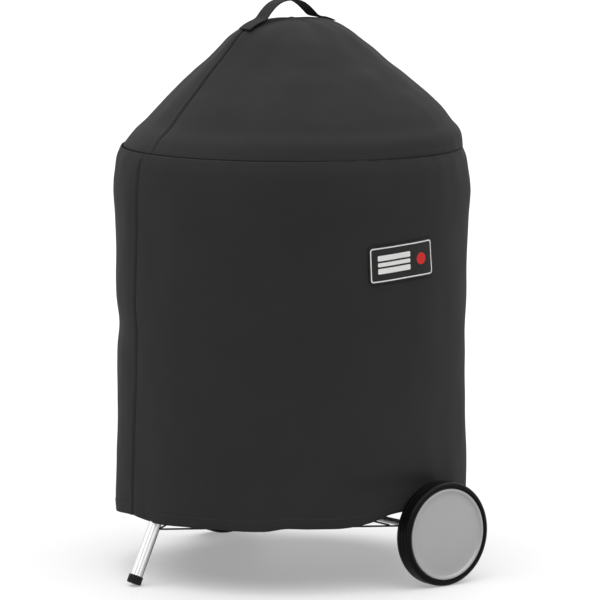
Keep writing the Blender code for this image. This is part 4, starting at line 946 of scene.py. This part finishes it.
thickened(strap, WEB_THICK)
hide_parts("cover_strap")
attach(strap, "cover")
web_length = float(bow_along[-1])

# ---- Label patch ------------------------------------------------------------------------------
# A woven black patch sewn on the user's side of the skirt, with a thin light border. Its picture
# is plain: three bars and a dot.

label_low, label_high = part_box("cover_label")
LABEL_LIFT = 0.0009
label_wide = (label_high.x - label_low.x) / 2
label_tall = (label_high.z - label_low.z) / 2
label_z = (label_high.z + label_low.z) / 2
label_mid = (label_high.x + label_low.x) / 2 - axis_x
LABEL_TILT = math.radians(-2.9)       # sewn on a little askew
drop = shoulder_z - 0.0006 - hem_z - 0.001


def on_skirt(x, z, lift):
    """A point lying on the skirt's outer face on the user's side, lifted off it."""
    turn = -np.arccos(np.clip(np.asarray(x) / (wide_r - 0.004), -1, 1))
    down = (shoulder_z - 0.0006 - np.asarray(z)) / (drop - hem_lift(turn))
    return skirt_point(turn, down, lift)


def askew(u, v):
    """Where a point of the flat patch comes on the skirt, from the kettle's axis and the floor."""
    x = u * math.cos(LABEL_TILT) + v * math.sin(LABEL_TILT)
    return label_mid + x, label_z + v * math.cos(LABEL_TILT) - u * math.sin(LABEL_TILT)


CORNER = 0.005
label_u = np.concatenate([
    np.linspace(-1, -0.96, 4), np.linspace(-0.93, 0.93, 41), np.linspace(0.96, 1, 4),
])
label_v = np.concatenate([
    np.linspace(-1, -0.93, 4), np.linspace(-0.86, 0.86, 19), np.linspace(0.93, 1, 4),
])
grid_u, grid_v = np.meshgrid(label_u, label_v)
inset = np.clip(CORNER - (label_tall - np.abs(grid_v) * label_tall), 0, CORNER)
rounded_by = CORNER - np.sqrt(np.maximum(CORNER**2 - inset**2, 0))
flat_u = grid_u * (label_wide - rounded_by * np.abs(grid_u) ** 6)
flat_v = grid_v * label_tall
label_points = on_skirt(*askew(flat_u, flat_v), LABEL_LIFT + 0.0011)
patch_uv = np.stack([flat_u, flat_v], -1)

patch_paint, tree, shader, where = finish("woven_patch", (0.009, 0.009, 0.0095), 0.62,
                                          drifts=0.10, Specular_IOR_Level=0.2)
flat = added(tree, "ShaderNodeSeparateXYZ", {0: where["UV"]})
patch_x, patch_y = flat.outputs["X"], flat.outputs["Y"]


def inside(tree, x, y, at, half, corner):
    """1 inside a rounded rectangle on the patch, and 0 outside it."""
    far = []
    for value, middle, size in ((x, at[0], half[0]), (y, at[1], half[1])):
        away = math_node(tree, "ABSOLUTE", math_node(tree, "SUBTRACT", value, middle))
        far.append(math_node(tree, "MAXIMUM", math_node(
            tree, "SUBTRACT", away, size - corner), 0.0))
    squares = [math_node(tree, "MULTIPLY", value, value) for value in far]
    length = math_node(tree, "SQRT", math_node(tree, "ADD", *squares))
    return math_node(tree, "LESS_THAN", length, corner)


BORDER_IN, BORDER = 0.0030, 0.0024
outer = inside(tree, patch_x, patch_y, (0, 0),
               (label_wide - BORDER_IN, label_tall - BORDER_IN), 0.006)
inner = inside(tree, patch_x, patch_y, (0, 0),
               (label_wide - BORDER_IN - BORDER, label_tall - BORDER_IN - BORDER), 0.004)
light = math_node(tree, "SUBTRACT", outer, inner)
for middle, half in (((-0.020, 0.0125), (0.040, 0.0052)), ((-0.020, 0.0), (0.040, 0.0038)),
                     ((-0.020, -0.0125), (0.040, 0.0052))):
    light = math_node(tree, "MAXIMUM", light, inside(tree, patch_x, patch_y, middle, half, 0.002))
dot = inside(tree, patch_x, patch_y, (0.048, 0.0), (0.0115, 0.0115), 0.0115)
colour = shader.inputs["Base Color"].links[0].from_socket
for mask, ink_colour in ((light, (0.74, 0.74, 0.72, 1)), (dot, (0.56, 0.020, 0.018, 1))):
    laid = added(tree, "ShaderNodeMix", {"Factor": mask, "A": colour, "B": ink_colour},
                 data_type="RGBA")
    colour = laid.outputs["Result"]
tree.links.new(colour, shader.inputs["Base Color"])
patch_threads = placed(tree, weave, Vector=where["UV"], Threads=1500.0)
sewn_up = math_node(tree, "MULTIPLY", math_node(tree, "MAXIMUM", light, dot), 1.6)
raised = math_node(tree, "ADD", sewn_up, patch_threads.outputs["Height"])
bumped(tree, shader, raised, 0.00025, 0.6)
patch = sheet_mesh("label_patch_cloth", label_points, patch_uv, patch_paint, closed=False)
thickened(patch, 0.0011)
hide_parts("cover_label")
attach(patch, "cover")

# ---- Seams' stitches --------------------------------------------------------------------------
# Lock stitches of black thread beside each felled seam, round the hem and round the label, and in
# a box at each end of the strap.


def stitch_tree():
    """Geometry nodes that lay a row of short round-ended stitches along a line of edges."""
    tree = bpy.data.node_groups.new("stitch_row", "GeometryNodeTree")
    sockets = {}
    tree.interface.new_socket("Geometry", in_out="INPUT", socket_type="NodeSocketGeometry")
    for label, kind in (("Pitch", "Float"), ("Length", "Float"), ("Thick", "Float"),
                        ("Thread", "Material")):
        made = tree.interface.new_socket(label, in_out="INPUT", socket_type=f"NodeSocket{kind}")
        sockets[label] = made.identifier
    tree.interface.new_socket("Geometry", in_out="OUTPUT", socket_type="NodeSocketGeometry")
    given, result = tree.nodes.new("NodeGroupInput"), tree.nodes.new("NodeGroupOutput")
    line = added(tree, "GeometryNodeMeshToCurve", {0: given.outputs["Geometry"]})
    spaced = added(tree, "GeometryNodeResampleCurve", {"Curve": line.outputs[0]}, mode="LENGTH")
    tree.links.new(given.outputs["Pitch"], spaced.inputs["Length"])
    stitch = added(tree, "GeometryNodeMeshUVSphere", {"Segments": 6, "Rings": 4, "Radius": 0.5})
    size = added(tree, "ShaderNodeCombineXYZ", {
        "X": given.outputs["Length"], "Y": given.outputs["Thick"], "Z": given.outputs["Thick"],
    })
    tangent = added(tree, "GeometryNodeInputTangent")
    turned = added(tree, "FunctionNodeAlignRotationToVector", {"Vector": tangent.outputs[0]},
                   axis="X")
    laid = added(tree, "GeometryNodeInstanceOnPoints", {
        "Points": spaced.outputs["Curve"], "Instance": stitch.outputs["Mesh"],
        "Rotation": turned.outputs[0], "Scale": size.outputs[0],
    })
    real = added(tree, "GeometryNodeRealizeInstances", {0: laid.outputs[0]})
    painted = added(tree, "GeometryNodeSetMaterial", {
        "Geometry": real.outputs[0], "Material": given.outputs["Thread"],
    })
    tree.links.new(painted.outputs[0], result.inputs[0])
    return tree, sockets


stitches, stitch_sockets = stitch_tree()
black_thread = surfaced("black_thread", (0.016, 0.016, 0.016), (0.50, 0.70), scale=3000.0)


def sewn(name, rows, pitch, length, thick, thread, body):
    """One piece of stitches along one or more rows of points."""
    verts, edges = [], []
    for row in rows:
        start = len(verts)
        verts += [tuple(p) for p in row]
        edges += [(start + i, start + i + 1) for i in range(len(row) - 1)]
    mesh = bpy.data.meshes.new(name)
    mesh.from_pydata(verts, edges, [])
    holder = in_scene(name, mesh)
    nodes_of = holder.modifiers.new("stitches", "NODES")
    nodes_of.node_group = stitches
    for label, value in (("Pitch", pitch), ("Length", length), ("Thick", thick),
                         ("Thread", thread)):
        nodes_of[stitch_sockets[label]] = value
    made = settled(holder)
    made.shade_smooth()
    piece = in_scene(name, made)
    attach(piece, body)
    return piece


SEAM_ROWS = (-0.0020, -0.0105)        # the two rows of stitches beside each felled seam
all_round = np.linspace(0, 2 * math.pi, 721)
lines_down = np.linspace(0.012, 0.985, 240)
skirt_rows = [skirt_point(all_round, 0.0085, 0.0001)]
skirt_rows += [skirt_point(all_round, 1 - (HEM_TALL - 0.0022) / SKIRT_TALL, 0.0001)]
for half_turn in (0, math.pi):
    for beside in SEAM_ROWS:
        turn = skirt_seam(lines_down) + half_turn + beside / wide_r
        skirt_rows.append(skirt_point(turn, lines_down, 0.0001))
skirt_stitches = sewn("skirt_stitches", skirt_rows, 0.0034, 0.0025, 0.0006, black_thread, "cover")

up_cone = np.linspace(0.24, 0.985, 160)
cone_rows = [cone_point(all_round, 0.988) + np.array([0, 0, 0.0001])]
for half_turn in (0, math.pi):
    for beside in SEAM_ROWS:
        turn = CONE_SEAM + half_turn + beside / (shoulder_r * up_cone)
        cone_rows.append(cone_point(turn, up_cone) + np.array([0, 0, 0.0001]))
cone_stitches = sewn("cone_stitches", cone_rows, 0.0034, 0.0025, 0.0006, black_thread, "cover")

corner = np.linspace(0, math.pi / 2, 7)
sew_x, sew_y, sew_r = label_wide - 0.0016, label_tall - 0.0016, 0.004
loop_x = np.concatenate([
    sx * (sew_x - sew_r) + sew_r * np.cos(corner + a)
    for sx, a in ((1, 0), (-1, math.pi / 2), (-1, math.pi), (1, 3 * math.pi / 2))
])
loop_y = np.concatenate([
    sy * (sew_y - sew_r) + sew_r * np.sin(corner + a)
    for sy, a in ((1, 0), (1, math.pi / 2), (-1, math.pi), (-1, 3 * math.pi / 2))
])
loop_x, loop_y = np.append(loop_x, loop_x[0]), np.append(loop_y, loop_y[0])
loop_at = np.linspace(0, len(loop_x) - 1, 600)
loop_x, loop_y = (np.interp(loop_at, range(len(v)), v) for v in (loop_x, loop_y))
label_row = on_skirt(*askew(loop_x, loop_y), LABEL_LIFT + 0.0012)
label_stitches = sewn("label_stitches", [label_row], 0.0028, 0.0021, 0.0005, black_thread, "cover")


def strap_row(starts, ends, sides):
    """A line on the strap's upper face."""
    along = np.linspace(starts, ends, 40)
    side = np.linspace(*sides, 40)
    return np.stack([
        axis_x + np.interp(along, strap_along, strap_x),
        side * web_half + WEB_LEAN * np.sin(math.pi * along / bow_along[-1]),
        np.interp(along, strap_along, strap_z) + 0.0002,
    ], -1)


strap_rows = []
for near, far in ((0.003, 0.026), (web_length - 0.022, web_length - 0.003)):
    for side in (-0.8, 0.8):
        strap_rows.append(strap_row(near, far, (side, side)))
    strap_rows += [strap_row(near, near, (-0.8, 0.8)), strap_row(far, far, (-0.8, 0.8))]
    strap_rows += [strap_row(near, far, (-0.8, 0.8)), strap_row(near, far, (0.8, -0.8))]
strap_stitches = sewn("strap_stitches", strap_rows, 0.0030, 0.0023, 0.0006, black_thread, "cover")

# ---- Fittings kept as they are ----------------------------------------------------------------
# The small turned, bent and moulded parts keep their own shapes and take the finishes above.

for node in nodes.values():
    for slot in node.material_slots:
        plain = slot.material.name.split(".")[0]
        if plain in finishes:
            slot.material = finishes[plain]

low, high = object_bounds()
